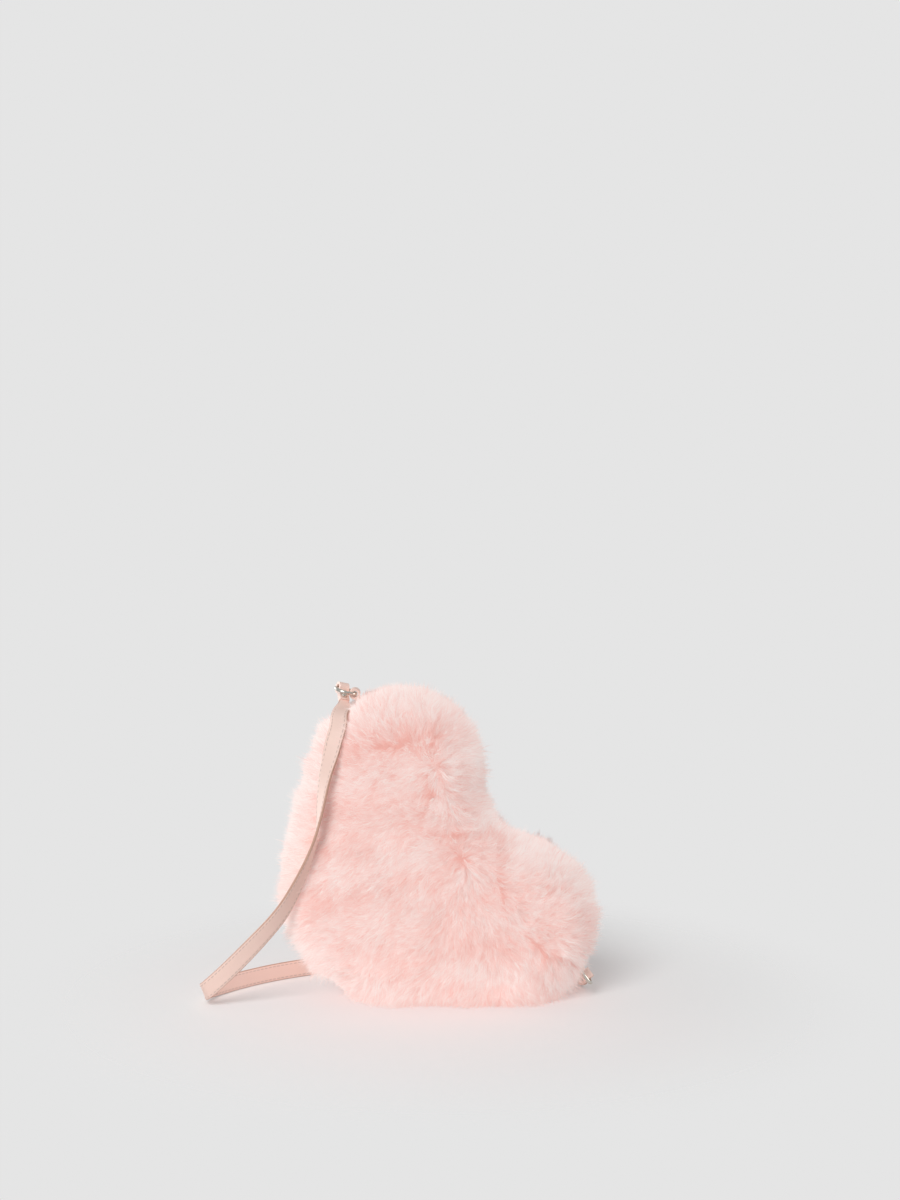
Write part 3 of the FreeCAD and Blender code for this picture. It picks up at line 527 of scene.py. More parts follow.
def sow(skin, count, rng):
    """Even random places on the skin with the directions out of it, in millimetres."""
    mesh = skin.data
    mesh.calc_loop_triangles()
    corners = np.empty(len(mesh.loop_triangles) * 3, int)
    mesh.loop_triangles.foreach_get("vertices", corners)
    corners = corners.reshape(-1, 3)
    spots = np.empty(len(mesh.vertices) * 3)
    normals = np.empty(len(mesh.vertices) * 3)
    mesh.vertices.foreach_get("co", spots)
    mesh.vertices.foreach_get("normal", normals)
    spots, normals = spots.reshape(-1, 3) / MM, normals.reshape(-1, 3)
    # Corners and triangles are put in an order of their own, so that each run sows the same places.
    rank = np.empty(len(spots), int)
    rank[np.lexsort(spots.T)] = np.arange(len(spots))
    corners = np.take_along_axis(corners, np.argsort(rank[corners], axis=1), 1)
    corners = corners[np.lexsort(rank[corners].T)]
    sides = spots[corners]
    area = np.linalg.norm(np.cross(sides[:, 1] - sides[:, 0], sides[:, 2] - sides[:, 0]), axis=1)
    chosen = np.searchsorted(np.cumsum(area) / area.sum(), (np.arange(count) + rng.random(count)) / count)
    chosen = np.minimum(chosen, len(area) - 1)
    share = np.sort(rng.random((count, 2)), axis=1)
    share = np.stack([share[:, 0], share[:, 1] - share[:, 0], 1 - share[:, 1]], 1)[:, :, None]
    return (sides[chosen] * share).sum(1), unit((normals[corners[chosen]] * share).sum(1))


# Farther than anything on the purse, in millimetres.
FAR_AWAY = 1e9


def parted(spots, lines):
    """Distance to the nearest parting and the direction away from it."""
    best = np.full(len(spots), FAR_AWAY)
    away = np.zeros((len(spots), 2))
    for line in lines:
        for start, end in zip(line, line[1:]):
            start, run = np.array(start, float), np.array(end, float) - np.array(start, float)
            share = np.clip(((spots - start) @ run) / (run @ run), 0, 1)
            off = spots - start - share[:, None] * run
            far = np.linalg.norm(off, axis=1)
            nearer = far < best
            best[nearer], away[nearer] = far[nearer], off[nearer] / np.maximum(far[nearer], 1e-6)[:, None]
    return best, away


# Combing of the locks, in millimetres and as shares of the pile's length, flatness or paleness; the paleness
# holds painted light on the rim and painted shade in the partings and near the floor. A wave has a scale and
# a share, and a reach has a start and an end.
COMB_SOFTNESS, COMB_FALL = 180, 1.5
WANDERING = [(34, 0.55), (13, 0.55)]
FRONT_REACH = (0, 12)
RAGGED_SCALE, RAGGED_SHARE = 5, 1.6
PARTING_REACH = (0.5, 5)
PARTING_TURN, PARTING_PUSH = 0.7, 0.9
SWAY_SCALE, SWAY_SHARE = 22, 0.35
RIM_SHARE, RIM_REACH = 0.85, (0.15, 0.7)
MEETING_REACH, RIM_LIFT = 6, 0.4
FLATNESS, FLAT_SCALE, FLAT_SHARE, FLAT_PARTING, FLAT_SIDE = 0.5, 12, 0.14, 0.1, 0.06
LONG_SCALE, LONG_SHARE, SHORT_PARTING, SHORT_SIDE = 11, 0.14, 0.1, 0.2
SHORT_BACK, SHORT_BACK_REACH, SHORTEST = 1.2, (-4, 14), 0.5
FLOOR_SHADE_SHARE, FLOOR_SHADE_REACH = 0.16, (3, 16)
PALENESS, PALE_SCALE, PALE_SHARE, PAINTED_RIM_LIGHT = 0.42, 16, 0.13, 0.5
PARTING_SHADE_SHARE, PARTING_SHADE_REACH = 0.36, (0, 4)


def comb(places, normals, rng):
    """For each lock: its lie on the skin, how flat and long it is, how pale it is with painted light and
    shade, and how far on the side.
    """
    flat = places[:, [0, 2]]
    hand = np.array(COMBED, float)
    weight = 1 / (((flat[:, None] - hand[None, :, :2]) ** 2).sum(2) + COMB_SOFTNESS) ** COMB_FALL
    lie2 = unit((weight[:, :, None] * hand[None, :, 2:]).sum(1))
    wander = sum(waves(places, scale, rng) * share for scale, share in WANDERING)
    right, up = np.cos(wander), np.sin(wander)
    lie2 = np.stack([lie2[:, 0] * right - lie2[:, 1] * up, lie2[:, 0] * up + lie2[:, 1] * right], 1)
    front = step(*FRONT_REACH, -places[:, 1])
    far, away = parted(flat, PARTINGS)
    far = far + RAGGED_SHARE * np.abs(waves(places, RAGGED_SCALE, rng))
    split = front * (1 - step(*PARTING_REACH, far))
    lie2 = unit(lie2 * (1 - PARTING_TURN * split)[:, None] + away * (PARTING_PUSH * split)[:, None])
    lie = np.stack([lie2[:, 0], waves(places, SWAY_SCALE, rng) * SWAY_SHARE, lie2[:, 1]], 1)
    side = 1 - np.abs(normals[:, 1])
    over = RIM_SHARE * step(*RIM_REACH, side)[:, None]
    inward = np.clip((MEETING - places[:, 1]) / MEETING_REACH, -1, 1)[:, None] * np.array([0, 1, 0])
    lie = lie * (1 - over) + (inward + RIM_LIFT * normals * np.array([1, 0, 1])) * over
    lie -= normals * (lie * normals).sum(1, keepdims=True)
    lie = unit(lie)
    flatness = FLATNESS + FLAT_SHARE * waves(places, FLAT_SCALE, rng)
    flatness += FLAT_PARTING * split - FLAT_SIDE * side
    length = 1 + LONG_SHARE * waves(places, LONG_SCALE, rng) - SHORT_PARTING * split
    length -= SHORT_SIDE * side * (1 + SHORT_BACK * step(*SHORT_BACK_REACH, places[:, 1]))
    for middle, reach, change in TUFTS:
        length += change * np.exp(-((places - middle) ** 2).sum(1) / (2 * reach**2))
    length = np.maximum(length, SHORTEST)
    # Painted light: the locks are paler on the rim, standing in for light through the fringe.
    pale = PALENESS + PALE_SHARE * waves(places, PALE_SCALE, rng) + PAINTED_RIM_LIGHT * np.sqrt(side)
    # Painted shade: the locks are deeper pink along the partings.
    pale -= PARTING_SHADE_SHARE * front * (1 - step(*PARTING_SHADE_REACH, far))
    # Painted shade: the locks are deeper pink low down, where the pile meets the floor.
    pale -= FLOOR_SHADE_SHARE * (1 - step(*FLOOR_SHADE_REACH, places[:, 2]))
    return lie, flatness, length, pale, side


# Room for the tabs, the strap, the zip and its pull's dish, in millimetres and shares of the pile.
TAB_ALONG_REACH, TAB_DEPTH_REACH, TAB_FOOT = (9, 17), (8, 15), -25
TAB_SHORT, TAB_FLAT = 0.5, 0.95
TAB_BARE_ALONG, TAB_BARE_DEPTH = 3.2, 4.2
UNDER_STRAP_REACH, UNDER_STRAP_SHORT, UNDER_STRAP_FLAT = (7, 15), 0.35, 0.9
DISH_ALONG_REACH, DISH_ACROSS_REACH, DISH_SHORT, DISH_FLAT = (76, 86), (7, 14), 0.78, 0.95
BACK_FACE, SLOT_MARGIN, SLOT_REACH = -10, 4, 12
SLOT_COMB, SLOT_SHORT, SLOT_BARE = 3, 0.3, 0.6


def clear_hardware(places, lie, flatness, length):
    """Parts the fur round the tabs and the zip; returns which locks stay."""
    stay = np.ones(len(places), bool)
    for hinge, radial, flank in TABS:
        off = places - hinge
        along, depth, deep = np.abs(off @ flank), np.abs(off[:, 1]), off @ radial
        near = (1 - step(*TAB_ALONG_REACH, along)) * (1 - step(*TAB_DEPTH_REACH, depth)) * (deep > TAB_FOOT)
        length *= 1 - TAB_SHORT * near
        flatness += (TAB_FLAT - flatness) * near
        stay &= ~((along < TAB_BARE_ALONG) & (depth < TAB_BARE_DEPTH) & (deep > TAB_FOOT))
    line = np.array([place for place, _ in STRAP_ROUTE])
    under = np.full(len(places), FAR_AWAY)
    for start, end in zip(line, line[1:]):
        share = np.clip((places - start) @ (end - start) / ((end - start) @ (end - start)), 0, 1)
        under = np.minimum(under, np.linalg.norm(places - start - share[:, None] * (end - start), axis=1))
    near = 1 - step(*UNDER_STRAP_REACH, under)
    length *= 1 - UNDER_STRAP_SHORT * near
    flatness += (UNDER_STRAP_FLAT - flatness) * near
    off = places - ZIP_MIDDLE
    along, across = off @ ZIP_ALONG, off @ ZIP_ACROSS
    behind = off[:, 1] > BACK_FACE
    dish = (1 - step(*DISH_ALONG_REACH, along)) * (1 - step(*DISH_ACROSS_REACH, np.abs(across)))
    dish *= behind & (along > 0)
    length *= 1 - DISH_SHORT * dish
    flatness += (DISH_FLAT - flatness) * dish
    back = behind & (np.abs(along) < SLOT_HALF_LENGTH + SLOT_MARGIN)
    near = back * (1 - step(SLOT_HALF_WIDTH, SLOT_HALF_WIDTH + SLOT_REACH, np.abs(across)))
    lie += near[:, None] * SLOT_COMB * np.sign(across)[:, None] * ZIP_ACROSS
    lie[:] = unit(lie)
    length *= 1 - SLOT_SHORT * near
    stay &= ~(back & (np.abs(across) < SLOT_HALF_WIDTH + SLOT_BARE))
    return stay


# Shares of a strand's length at its three places: root, knee and tip.
STATIONS = np.array([0.0, 0.55, 1.0])

# How the locks differ from each other.
LOCK_VEER, LOCK_FLATNESS, LOCK_LENGTH, LOCK_PALENESS, LOCK_TILT, LOCK_CURL = 0.34, 0.12, 0.12, 0.21, 0.1, 0.55
WISP_SHARE, WISP_REACH, WISP_LONGER = 0.14, (0.2, 0.8), 0.35
SHADE_AHEAD, SHADE_UP = 1.1, 0.2

# How the strands of a lock differ, in millimetres, degrees and shares.
LOCK_RADIUS, ROOT_DEPTH = 1.1, 0.6
STRAND_SHORTEST, STRAND_SPREAD = 0.68, 0.4
STRAND_FLATNESS, FLATTEST, STEEPEST = 0.06, 1.0, 0.05
ROOT_LEAN, ROOT_LEAN_FLAT, TIP_LEAN, TIP_LEAN_FLAT = 8, 38, 24, 64
SWING, SWING_RIM, CURL_MIDDLE = 0.12, 1.5, 1.5
TUCK, TUCK_SPREAD, TUCK_RIM, TUCK_CURVE = 0.3, 0.5, 0.9, 1.3
FLOOR_GAP, FLOOR_SPREAD = 0.3, 1.2
STRAND_ROLL, STRAND_TONE, LOWEST_TONE, HIGHEST_TONE = 0.45, 0.12, 0.02, 0.98


def grow(fur, skin):
    """Strands of every lock: three places along each, its wide side, how pale it is and its facing."""
    rng = np.random.default_rng(SEED)
    places, normals = sow(skin, fur.locks, rng)
    lie, flatness, length, pale, rim = comb(places, normals, rng)
    stay = clear_hardware(places, lie, flatness, length)
    places, normals, lie = places[stay], normals[stay], lie[stay]
    flatness, length, pale, rim = flatness[stay], length[stay], pale[stay], rim[stay]
    across = np.cross(normals, lie)
    veer = rng.normal(0, LOCK_VEER, len(places))[:, None]
    lie, across = lie * np.cos(veer) + across * np.sin(veer), across * np.cos(veer) - lie * np.sin(veer)
    flatness = flatness + rng.normal(0, LOCK_FLATNESS, len(places))
    wisp = (rng.random(len(places)) < WISP_SHARE) * step(*WISP_REACH, rim)
    length = length * (1 + rng.normal(0, LOCK_LENGTH, len(places)) + WISP_LONGER * wisp)
    pale = pale + rng.normal(0, LOCK_PALENESS, len(places))
    tilt = rng.normal(0, LOCK_TILT, (2, len(places), 1))
    ahead = SHADE_AHEAD * rim * np.clip((places[:, 1] - MEETING) / MEETING_REACH, -1, 1)
    bias = np.stack([0 * ahead, ahead, 0 * ahead + SHADE_UP], 1)
    shade = unit(normals + tilt[0] * lie + tilt[1] * across + bias)
    curl = rng.normal(0, LOCK_CURL, len(places))
    count = len(places) * fur.per_lock
    lock = np.repeat(np.arange(len(places)), fur.per_lock)
    spread = LOCK_RADIUS * np.sqrt(rng.random(count))
    turn = rng.random(count) * 2 * math.pi
    offset = lie[lock] * (spread * np.cos(turn))[:, None] + across[lock] * (spread * np.sin(turn))[:, None]
    long = fur.pile / MM * length[lock] * (STRAND_SHORTEST + STRAND_SPREAD * rng.random(count))
    down = np.clip(flatness[lock] + rng.normal(0, STRAND_FLATNESS, count), STEEPEST, FLATTEST)
    first = np.radians(ROOT_LEAN + ROOT_LEAN_FLAT * down)
    last = np.radians(TIP_LEAN + TIP_LEAN_FLAT * down)
    swing = rng.normal(0, SWING, count) * (1 + SWING_RIM * rim[lock])
    up = normals[lock]
    tuck = (TUCK + TUCK_SPREAD * rng.random(count)) * (1 - TUCK_RIM * rim[lock])
    spots = np.empty((count, len(STATIONS), 3))
    root = places[lock] + offset - up * ROOT_DEPTH
    spots[:, 0] = root
    rise = np.zeros((count, 3))
    for index in range(1, len(STATIONS)):
        share = (STATIONS[index] + STATIONS[index - 1]) / 2
        lean = first + (last - first) * share
        run = long * (STATIONS[index] - STATIONS[index - 1])
        bend = swing + curl[lock] * (index - CURL_MIDDLE)
        way = lie[lock] * np.cos(bend)[:, None] + across[lock] * np.sin(bend)[:, None]
        rise += (up * np.cos(lean)[:, None] + way * np.sin(lean)[:, None]) * run[:, None]
        spots[:, index] = root + rise - offset * (tuck * STATIONS[index] ** TUCK_CURVE)[:, None]
    low = FLOOR_GAP + FLOOR_SPREAD * rng.random(count)[:, None]
    spots[:, :, 2] = np.maximum(spots[:, :, 2], low)
    run = unit(spots[:, -1] - spots[:, 0])
    side = unit(np.cross(run, up))
    roll = rng.normal(0, STRAND_ROLL, count)[:, None]
    side = side * np.cos(roll) + np.cross(run, side) * np.sin(roll)
    tone = np.clip(pale[lock] + rng.normal(0, STRAND_TONE, count), LOWEST_TONE, HIGHEST_TONE)
    return spots, side, tone, shade[lock]


# A strand has two corners at its root, two at its knee and one at its tip, in two faces.
STRAND_VERTS = 5
STRAND_CORNERS = np.array([0, 1, 3, 2, 2, 3, 4])
STRAND_STARTS = np.array([0, 4])
STRAND_ALONG = np.array([0, 0, STATIONS[1], STATIONS[1], 1.0])
STRAND_TAPER = (1.0, 0.8)
UV_MARGIN = 0.02


def strand_mesh(name, spots, side, tone, facing, width):
    """One mesh of tapering strands, shaded like the pile's surface."""
    count, loops_each, faces_each = len(spots), len(STRAND_CORNERS), len(STRAND_STARTS)
    verts = np.empty((count, STRAND_VERTS, 3), np.float32)
    for index, share in enumerate(STRAND_TAPER):
        half = width / MM / 2 * share
        verts[:, 2 * index] = spots[:, index] - side * half
        verts[:, 2 * index + 1] = spots[:, index] + side * half
    verts[:, -1] = spots[:, -1]
    loops = (np.arange(count)[:, None] * STRAND_VERTS + STRAND_CORNERS).astype(np.int32)
    starts = (np.arange(count)[:, None] * loops_each + STRAND_STARTS).astype(np.int32)
    uv = np.empty((count, loops_each, 2), np.float32)
    uv[:, :, 0] = UV_MARGIN + (1 - 2 * UV_MARGIN) * STRAND_ALONG[STRAND_CORNERS]
    uv[:, :, 1] = tone[:, None]
    mesh = bpy.data.meshes.new(name)
    mesh.vertices.add(count * STRAND_VERTS)
    mesh.vertices.foreach_set("co", (verts * MM).ravel())
    mesh.loops.add(count * loops_each)
    mesh.loops.foreach_set("vertex_index", loops.ravel())
    mesh.polygons.add(count * faces_each)
    mesh.polygons.foreach_set("loop_start", starts.ravel())
    mesh.polygons.foreach_set("use_smooth", np.ones(count * faces_each, bool))
    mesh.update(calc_edges=True)
    layer = mesh.uv_layers.new(name="OFBake")
    layer.data.foreach_set("uv", uv.ravel())
    shading = mesh.attributes.new("custom_normal", "FLOAT_VECTOR", "POINT")
    shading.data.foreach_set("vector", np.repeat(facing.astype(np.float32), STRAND_VERTS, axis=0).ravel())
    return mesh


# How the tip's colour comes in along a strand and with its tone.
RISE_ALONG, RISE_TONE, RISE_LATE = 0.6, 0.9, 0.33


def fur_finish(fur):
    """Soft strands, deep pink at the root and pale at the tip; the deep root colour is partly the fur's own
    and partly painted shade of the pile's depth.
    """
    finish = new_finish("fur_strands")
    spot = finish.node("ShaderNodeUVMap", {"uv_map": "OFBake"})
    along = finish.node("ShaderNodeSeparateXYZ", None, {0: spot})
    tone = along.other(1) * RISE_TONE - RISE_LATE
    rise = finish.node(
        "ShaderNodeMath",
        {"operation": "MULTIPLY_ADD", "use_clamp": True},
        {0: along, 1: RISE_ALONG, 2: tone},
    )
    colour = finish.mix(rise, fur.root, fur.tip)
    return finish.surface(Base_Color=colour, Roughness=0.8, Specular_IOR_Level=0.15)


def skin_finish(fur):
    """Knitted backing under the fur."""
    finish = new_finish("fur_backing")
    speckle = finish.noise(scale=900.0, detail=3.0)
    colour = finish.mix(speckle, darker(fur.root, 0.9), fur.root)
    return finish.surface(Base_Color=colour, Roughness=0.9, Normal=finish.bump(speckle, distance=0.0004))


# Most strands in one piece.
PIECE_STRANDS = 64000


def make_fur(scene):
    """Skin and all the fur that grows from it."""
    fur = scene.purse_fur
    skin = make_skin(skin_finish(fur))
    spots, side, tone, facing = grow(fur, skin)
    material = fur_finish(fur)
    depth = spots[:, 0, 1]
    for region, chosen in (
        ("front", depth < -SEAM),
        ("side", np.abs(depth) <= SEAM),
        ("back", depth > SEAM),
    ):
        picked = np.flatnonzero(chosen)
        parts = max(1, math.ceil(len(picked) / PIECE_STRANDS))
        for index, part in enumerate(np.array_split(picked, parts), 1):
            name = f"fur_{region}_{index}"
            mesh = strand_mesh(name, spots[part], side[part], tone[part], facing[part], fur.strand)
            piece = new_piece(name, mesh, material)
            # The strands cast no shadow; their deep root colour paints the shade in the pile instead.
            piece.visible_shadow = False
            piece.visible_diffuse = False
            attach(piece, "bag")


# Places read from the spline between two of its control points.
ROUTE_STEPS = 14


def spline_points(name, points):
    """Places along a smooth spline that has the points as its control points."""
    data = bpy.data.curves.new(name, "CURVE")
    data.dimensions = "3D"
    spline = data.splines.new("NURBS")
    spline.points.add(len(points) - 1)
    for place, point in zip(spline.points, points):
        place.co = (*point, 1.0)
    spline.order_u = 3
    spline.use_endpoint_u = True
    spline.resolution_u = ROUTE_STEPS
    curve = bpy.data.objects.new(name, data)
    bpy.context.scene.collection.objects.link(curve)
    bpy.context.view_layer.update()
    mesh = bpy.data.meshes.new_from_object(curve)
    spots = np.array([vert.co[:] for vert in mesh.vertices])
    bpy.data.objects.remove(curve)
    bpy.data.curves.remove(data)
    bpy.data.meshes.remove(mesh)
    return spots


def leather_finish(name, colour):
    """Fine grained leather."""
    finish = new_finish(name)
    grain = finish.node(
        "ShaderNodeTexVoronoi",
        {"feature": "SMOOTH_F1"},
        {"Vector": finish.place(), "Scale": 1500.0, "Smoothness": 0.6},
    )
    mottle = finish.noise(scale=60.0, detail=3.0)
    return finish.surface(
        Base_Color=finish.mix(mottle * 0.6, colour, darker(colour, 0.88)),
        Roughness=0.42 + 0.16 * mottle,
        Normal=finish.bump(grain, distance=0.00012),
        Specular_IOR_Level=0.4,
    )


def edge_finish(colour):
    """Cut edge of the leather, painted darker."""
    finish = new_finish("leather_edge")
    fibre = finish.noise(scale=1400.0, detail=2.0)
    colour = finish.mix(fibre, colour, [min(1, channel * 1.5) for channel in colour])
    return finish.surface(Base_Color=colour, Roughness=0.6, Normal=finish.bump(fibre, distance=0.0001))


def thread_finish(colour):
    """Twisted sewing thread."""
    finish = new_finish("sewing_thread")
    twist = finish.threads("DIAGONAL", scale=700.0, distortion=2.0)
    colour = finish.mix(twist, darker(colour, 0.8), colour)
    return finish.surface(Base_Color=colour, Roughness=0.7, Normal=finish.bump(twist, distance=0.0001))


def strap_frames(strap):
    """Middle line, width direction and half width along the strap, in metres."""
    points = np.array([place for place, _ in STRAP_ROUTE]) * MM
    widths = unit(np.array([width for _, width in STRAP_ROUTE]))
    middle = spline_points("strap_line", points)
    beside = spline_points("strap_side", points + widths * strap.width / 2)
    along = unit(np.gradient(middle, axis=0))
    across = beside - middle
    across = unit(across - along * (across * along).sum(1, keepdims=True))
    run = np.concatenate([[0], np.cumsum(np.linalg.norm(np.diff(middle, axis=0), axis=1))])
    taper = np.clip(np.minimum(run, run[-1] - run) / strap.width, 0, 1)
    half = (strap.end_width + (strap.width - strap.end_width) * taper) / 2
    return middle, along, across, half, run


# Share of a row at which each end of the strap gets one more row, so that its flat end doesn't tint it.
END_ROW = 0.02

# Softened corners and swelling of the strap's section, as shares of half its thickness, and the columns of
# the section that are cut edges.
CORNER_SHARE, SWELL_SHARE = 0.4, 0.12
CUT_EDGES = ({3, 4, 5, 6}, {9, 10, 11, 12})


def strap_body(name, strap, middle, along, across, half, *materials):
    """Flat strip of leather with softened edges."""
    out = np.cross(along, across)
    thick = strap.thickness / 2
    corner, swell = CORNER_SHARE * thick, SWELL_SHARE * thick
    section = [
        (-1, -corner, -thick),
        (-0.5, 0, -thick - swell),
        (0.5, 0, -thick - swell),
        (1, -corner, -thick),
        (1, 0, -thick + corner),
        (1, 0, thick - corner),
        (1, -corner, thick),
        (0.5, 0, thick + swell),
        (-0.5, 0, thick + swell),
        (-1, -corner, thick),
        (-1, 0, thick - corner),
        (-1, 0, -thick + corner),
        (-1, -corner, -thick),
    ]
    spots = np.stack(
        [
            middle + across * (side * half + math.copysign(1, side) * pull)[:, None] + out * height
            for side, pull, height in section
        ],
        1,
    )
    first = spots[:1] + END_ROW * (spots[1:2] - spots[:1])
    last = spots[-1:] + END_ROW * (spots[-2:-1] - spots[-1:])
    spots = np.concatenate([spots[:1], first, spots[1:-1], last, spots[-1:]])
    bm = bmesh.new()
    column = grid(bm, spots)
    for face in bm.faces:
        places = {column[vert] for vert in face.verts}
        face.material_index = int(any(places <= edge for edge in CUT_EDGES))
    bmesh.ops.remove_doubles(bm, verts=bm.verts, dist=1e-6)
    bmesh.ops.holes_fill(bm, edges=[edge for edge in bm.edges if edge.is_boundary], sides=0)
    bmesh.ops.recalc_face_normals(bm, faces=bm.faces)
    return from_bmesh(name, bm, *materials)


# Stitches, in metres and as shares of the distance between them, and the thread's share of the colour.
SEAM_START, SEAM_INSET, THREAD_SHARE = 0.012, 0.0014, 0.78
STITCH_SHARE, STITCH_END_SHARE = 0.68, 0.3
THREAD_WIDTH, THREAD_HEIGHT, THREAD_LIFT, THREAD_DIP = 0.0005, 0.00032, 0.00005, 0.00014


def stitch(bm, strap, spot, axes, face):
    """One stitch, a short bar whose ends dip into the leather."""
    made = bmesh.ops.create_cube(bm, size=1.0)["verts"]
    turn = Matrix(axes).transposed().to_4x4()
    size = Matrix.Diagonal((strap.stitch * STITCH_SHARE, THREAD_WIDTH, THREAD_HEIGHT, 1.0))
    bmesh.ops.transform(bm, matrix=Matrix.Translation(spot) @ turn @ size, verts=made)
    along, out = Vector(axes[0]), Vector(axes[2])
    for vert in made:
        if abs((Vector(spot) - vert.co).dot(along)) > strap.stitch * STITCH_END_SHARE:
            vert.co -= out * face * THREAD_DIP


def stitches(name, strap, middle, along, across, half, run, whole, material):
    """Two rows of stitches on each face of the strap."""
    lines = (middle, along, across, np.cross(along, across))
    places = np.arange(max(run[0], SEAM_START), min(run[-1], whole - SEAM_START), strap.stitch)
    lift = strap.thickness / 2 + THREAD_LIFT
    bm = bmesh.new()
    for face in (1, -1):
        for side in (1, -1):
            for place in places:
                at = [np.array([np.interp(place, run, line[:, i]) for i in range(3)]) for line in lines]
                axes = [unit(way) for way in at[1:]]
                inset = np.interp(place, run, half) - SEAM_INSET
                spot = at[0] + axes[1] * side * inset + axes[2] * face * lift
                stitch(bm, strap, spot, axes, face)
    bmesh.ops.recalc_face_normals(bm, faces=bm.faces)
    return from_bmesh(name, bm, material, smooth=False)


# Share of the strap's run where its two lengths meet, and a stretch beside a ring, in metres.
SPLIT = 0.80
BEND = 0.024


def make_strap(scene):
    """Strap from ring to ring in two lengths."""
    strap = scene.purse_strap
    leather = leather_finish("strap_leather", strap.leather)
    edge = edge_finish(strap.edge)
    thread = thread_finish(darker(strap.leather, THREAD_SHARE))
    middle, along, across, half, run = strap_frames(strap)
    cut = int(np.searchsorted(run, run[-1] * SPLIT))
    for name, part, link, tip, way in (
        ("shoulder_strap_front", slice(0, cut + 1), "upper_link", 0, (0, 0, 1)),
        ("shoulder_strap_back", slice(cut, None), "lower_link", -1, (1, 0, 0)),
    ):
        pieces = (middle[part], along[part], across[part], half[part])
        body = strap_body(name, strap, *pieces, leather, edge)
        seam = stitches(f"{name}_stitches", strap, *pieces, run[part], run[-1], thread)
        for piece in (body, seam):
            middle[tip] - np.array(way) * BEND
            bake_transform(piece)
        line = middle[part] if tip == 0 else middle[part][::-1]
        if tip == 0:
            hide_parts("shoulder_strap")


def metal_finish(name, colour, rough):
    """Plated metal with faint wear."""
    finish = new_finish(name)
    wear = finish.noise(scale=400.0, detail=4.0)
    return finish.surface(
        Base_Color=finish.mix(wear, colour, darker(colour, 0.9)),
        Metallic=1.0,
        Roughness=rough + 0.1 * wear,
        Normal=finish.bump(wear, distance=0.00003),
    )


def cloth_finish(name, colour, scale, depth):
    """Woven cloth: two crossing sets of threads."""
    finish = new_finish(name)
    warp = finish.threads("X", scale, distortion=0.4)
    weave = warp * finish.threads("Z", scale, distortion=0.4)
    colour = finish.mix(weave, darker(colour, 0.82), colour)
    return finish.surface(Base_Color=colour, Roughness=0.85, Normal=finish.bump(weave, depth))


# Colours of the metal and of the cloth inside.
POLISHED_NICKEL = (0.62, 0.59, 0.53)
ZIP_NICKEL = (0.82, 0.80, 0.77)
TAPE_PINK = (0.80, 0.55, 0.48)
LINING_PINK = (0.78, 0.52, 0.46)
FOAM_CREAM = (0.85, 0.82, 0.78)


def give(nodes, material):
    """Gives CAD nodes a material."""
    for name in nodes:
        data = frame["nodes"][name].data
        data.materials.clear()
        data.materials.append(material)


def make_hardware(scene):
    """Finishes of the tabs, strap ends, rings, rivets and zip."""
    give(
        ["upper_tab", "lower_tab", "strap_upper_end", "strap_lower_end"],
        leather_finish("tab_leather", scene.purse_strap.leather),
    )
    give(
        [
            "upper_ring",
            "lower_ring",
            "upper_rivet_cap",
            "upper_rivet_base",
            "lower_rivet_cap",
            "lower_rivet_base",
        ],
        metal_finish("polished_nickel", POLISHED_NICKEL, rough=0.12),
    )
    give(
        ["zip_slider", "zip_pull", "zip_top_stops", "zip_bottom_stop", "zip_teeth_upper", "zip_teeth_lower"],
        metal_finish("zip_nickel", ZIP_NICKEL, rough=0.24),
    )
    tape = cloth_finish("zip_tape", TAPE_PINK, scale=900.0, depth=0.0002)
    give(["zip_tape_upper", "zip_tape_lower"], tape)
    lining = cloth_finish("lining_cloth", LINING_PINK, scale=1200.0, depth=0.0001)
    give(["front_lining", "back_lining"], lining)
    foam = cloth_finish("padding_foam", FOAM_CREAM, scale=500.0, depth=0.0003)
    give(["front_padding", "back_padding"], foam)


# Lamps: name, place in metres, width and share of the key's power. Only the key casts a shadow.
LAMPS = [
    ("key_light", (-0.8, -1.85, 1.6), 1.2, 1.0),
    ("left_light", (-1.2, -1.5, 0.3), 1.2, 0.2),
    ("back_left_light", (-1.3, 1.2, 0.4), 1.0, 0.4),
    ("back_right_light", (1.65, 0.5, 0.45), 1.0, 0.28),
]
LAMPS_AIM = (0, 0, 0.09)
WHITE = (1.0, 1.0, 1.0)

# The floor fades into the background between two distances from the purse's middle, in metres.
FLOOR_RADIUS, FLOOR_SEGMENTS = 1.0, 96
FADE_START, FADE_END = 0.13, 0.27

# The photograph's camera, in metres, millimetres and degrees.
CAMERA_PLACE, CAMERA_DIP = (0.0065, -1.632, 0.457), 7.68
CAMERA_FILM, CAMERA_LENS, CAMERA_NEAR = 36.0, 85.0, 0.05


def make_world(scene):
    """Light from all round, and the pale background that only the camera sees."""
    stage = scene.purse_stage
    scene.world = bpy.data.worlds.new("studio")
    finish = Finish(scene.world)
    from_camera = finish.node("ShaderNodeLightPath", output="Is Camera Ray")
    level = from_camera.other("Is Glossy Ray") * (stage.mirrored - stage.fill) + stage.fill
    around = finish.node("ShaderNodeBackground", None, {"Color": WHITE, "Strength": level})
    seen = finish.node("ShaderNodeBackground", None, {"Color": stage.pale})
    both = finish.node("ShaderNodeMixShader", None, {0: from_camera, 1: around, 2: seen})
    finish.node("ShaderNodeOutputWorld", None, {"Surface": both})


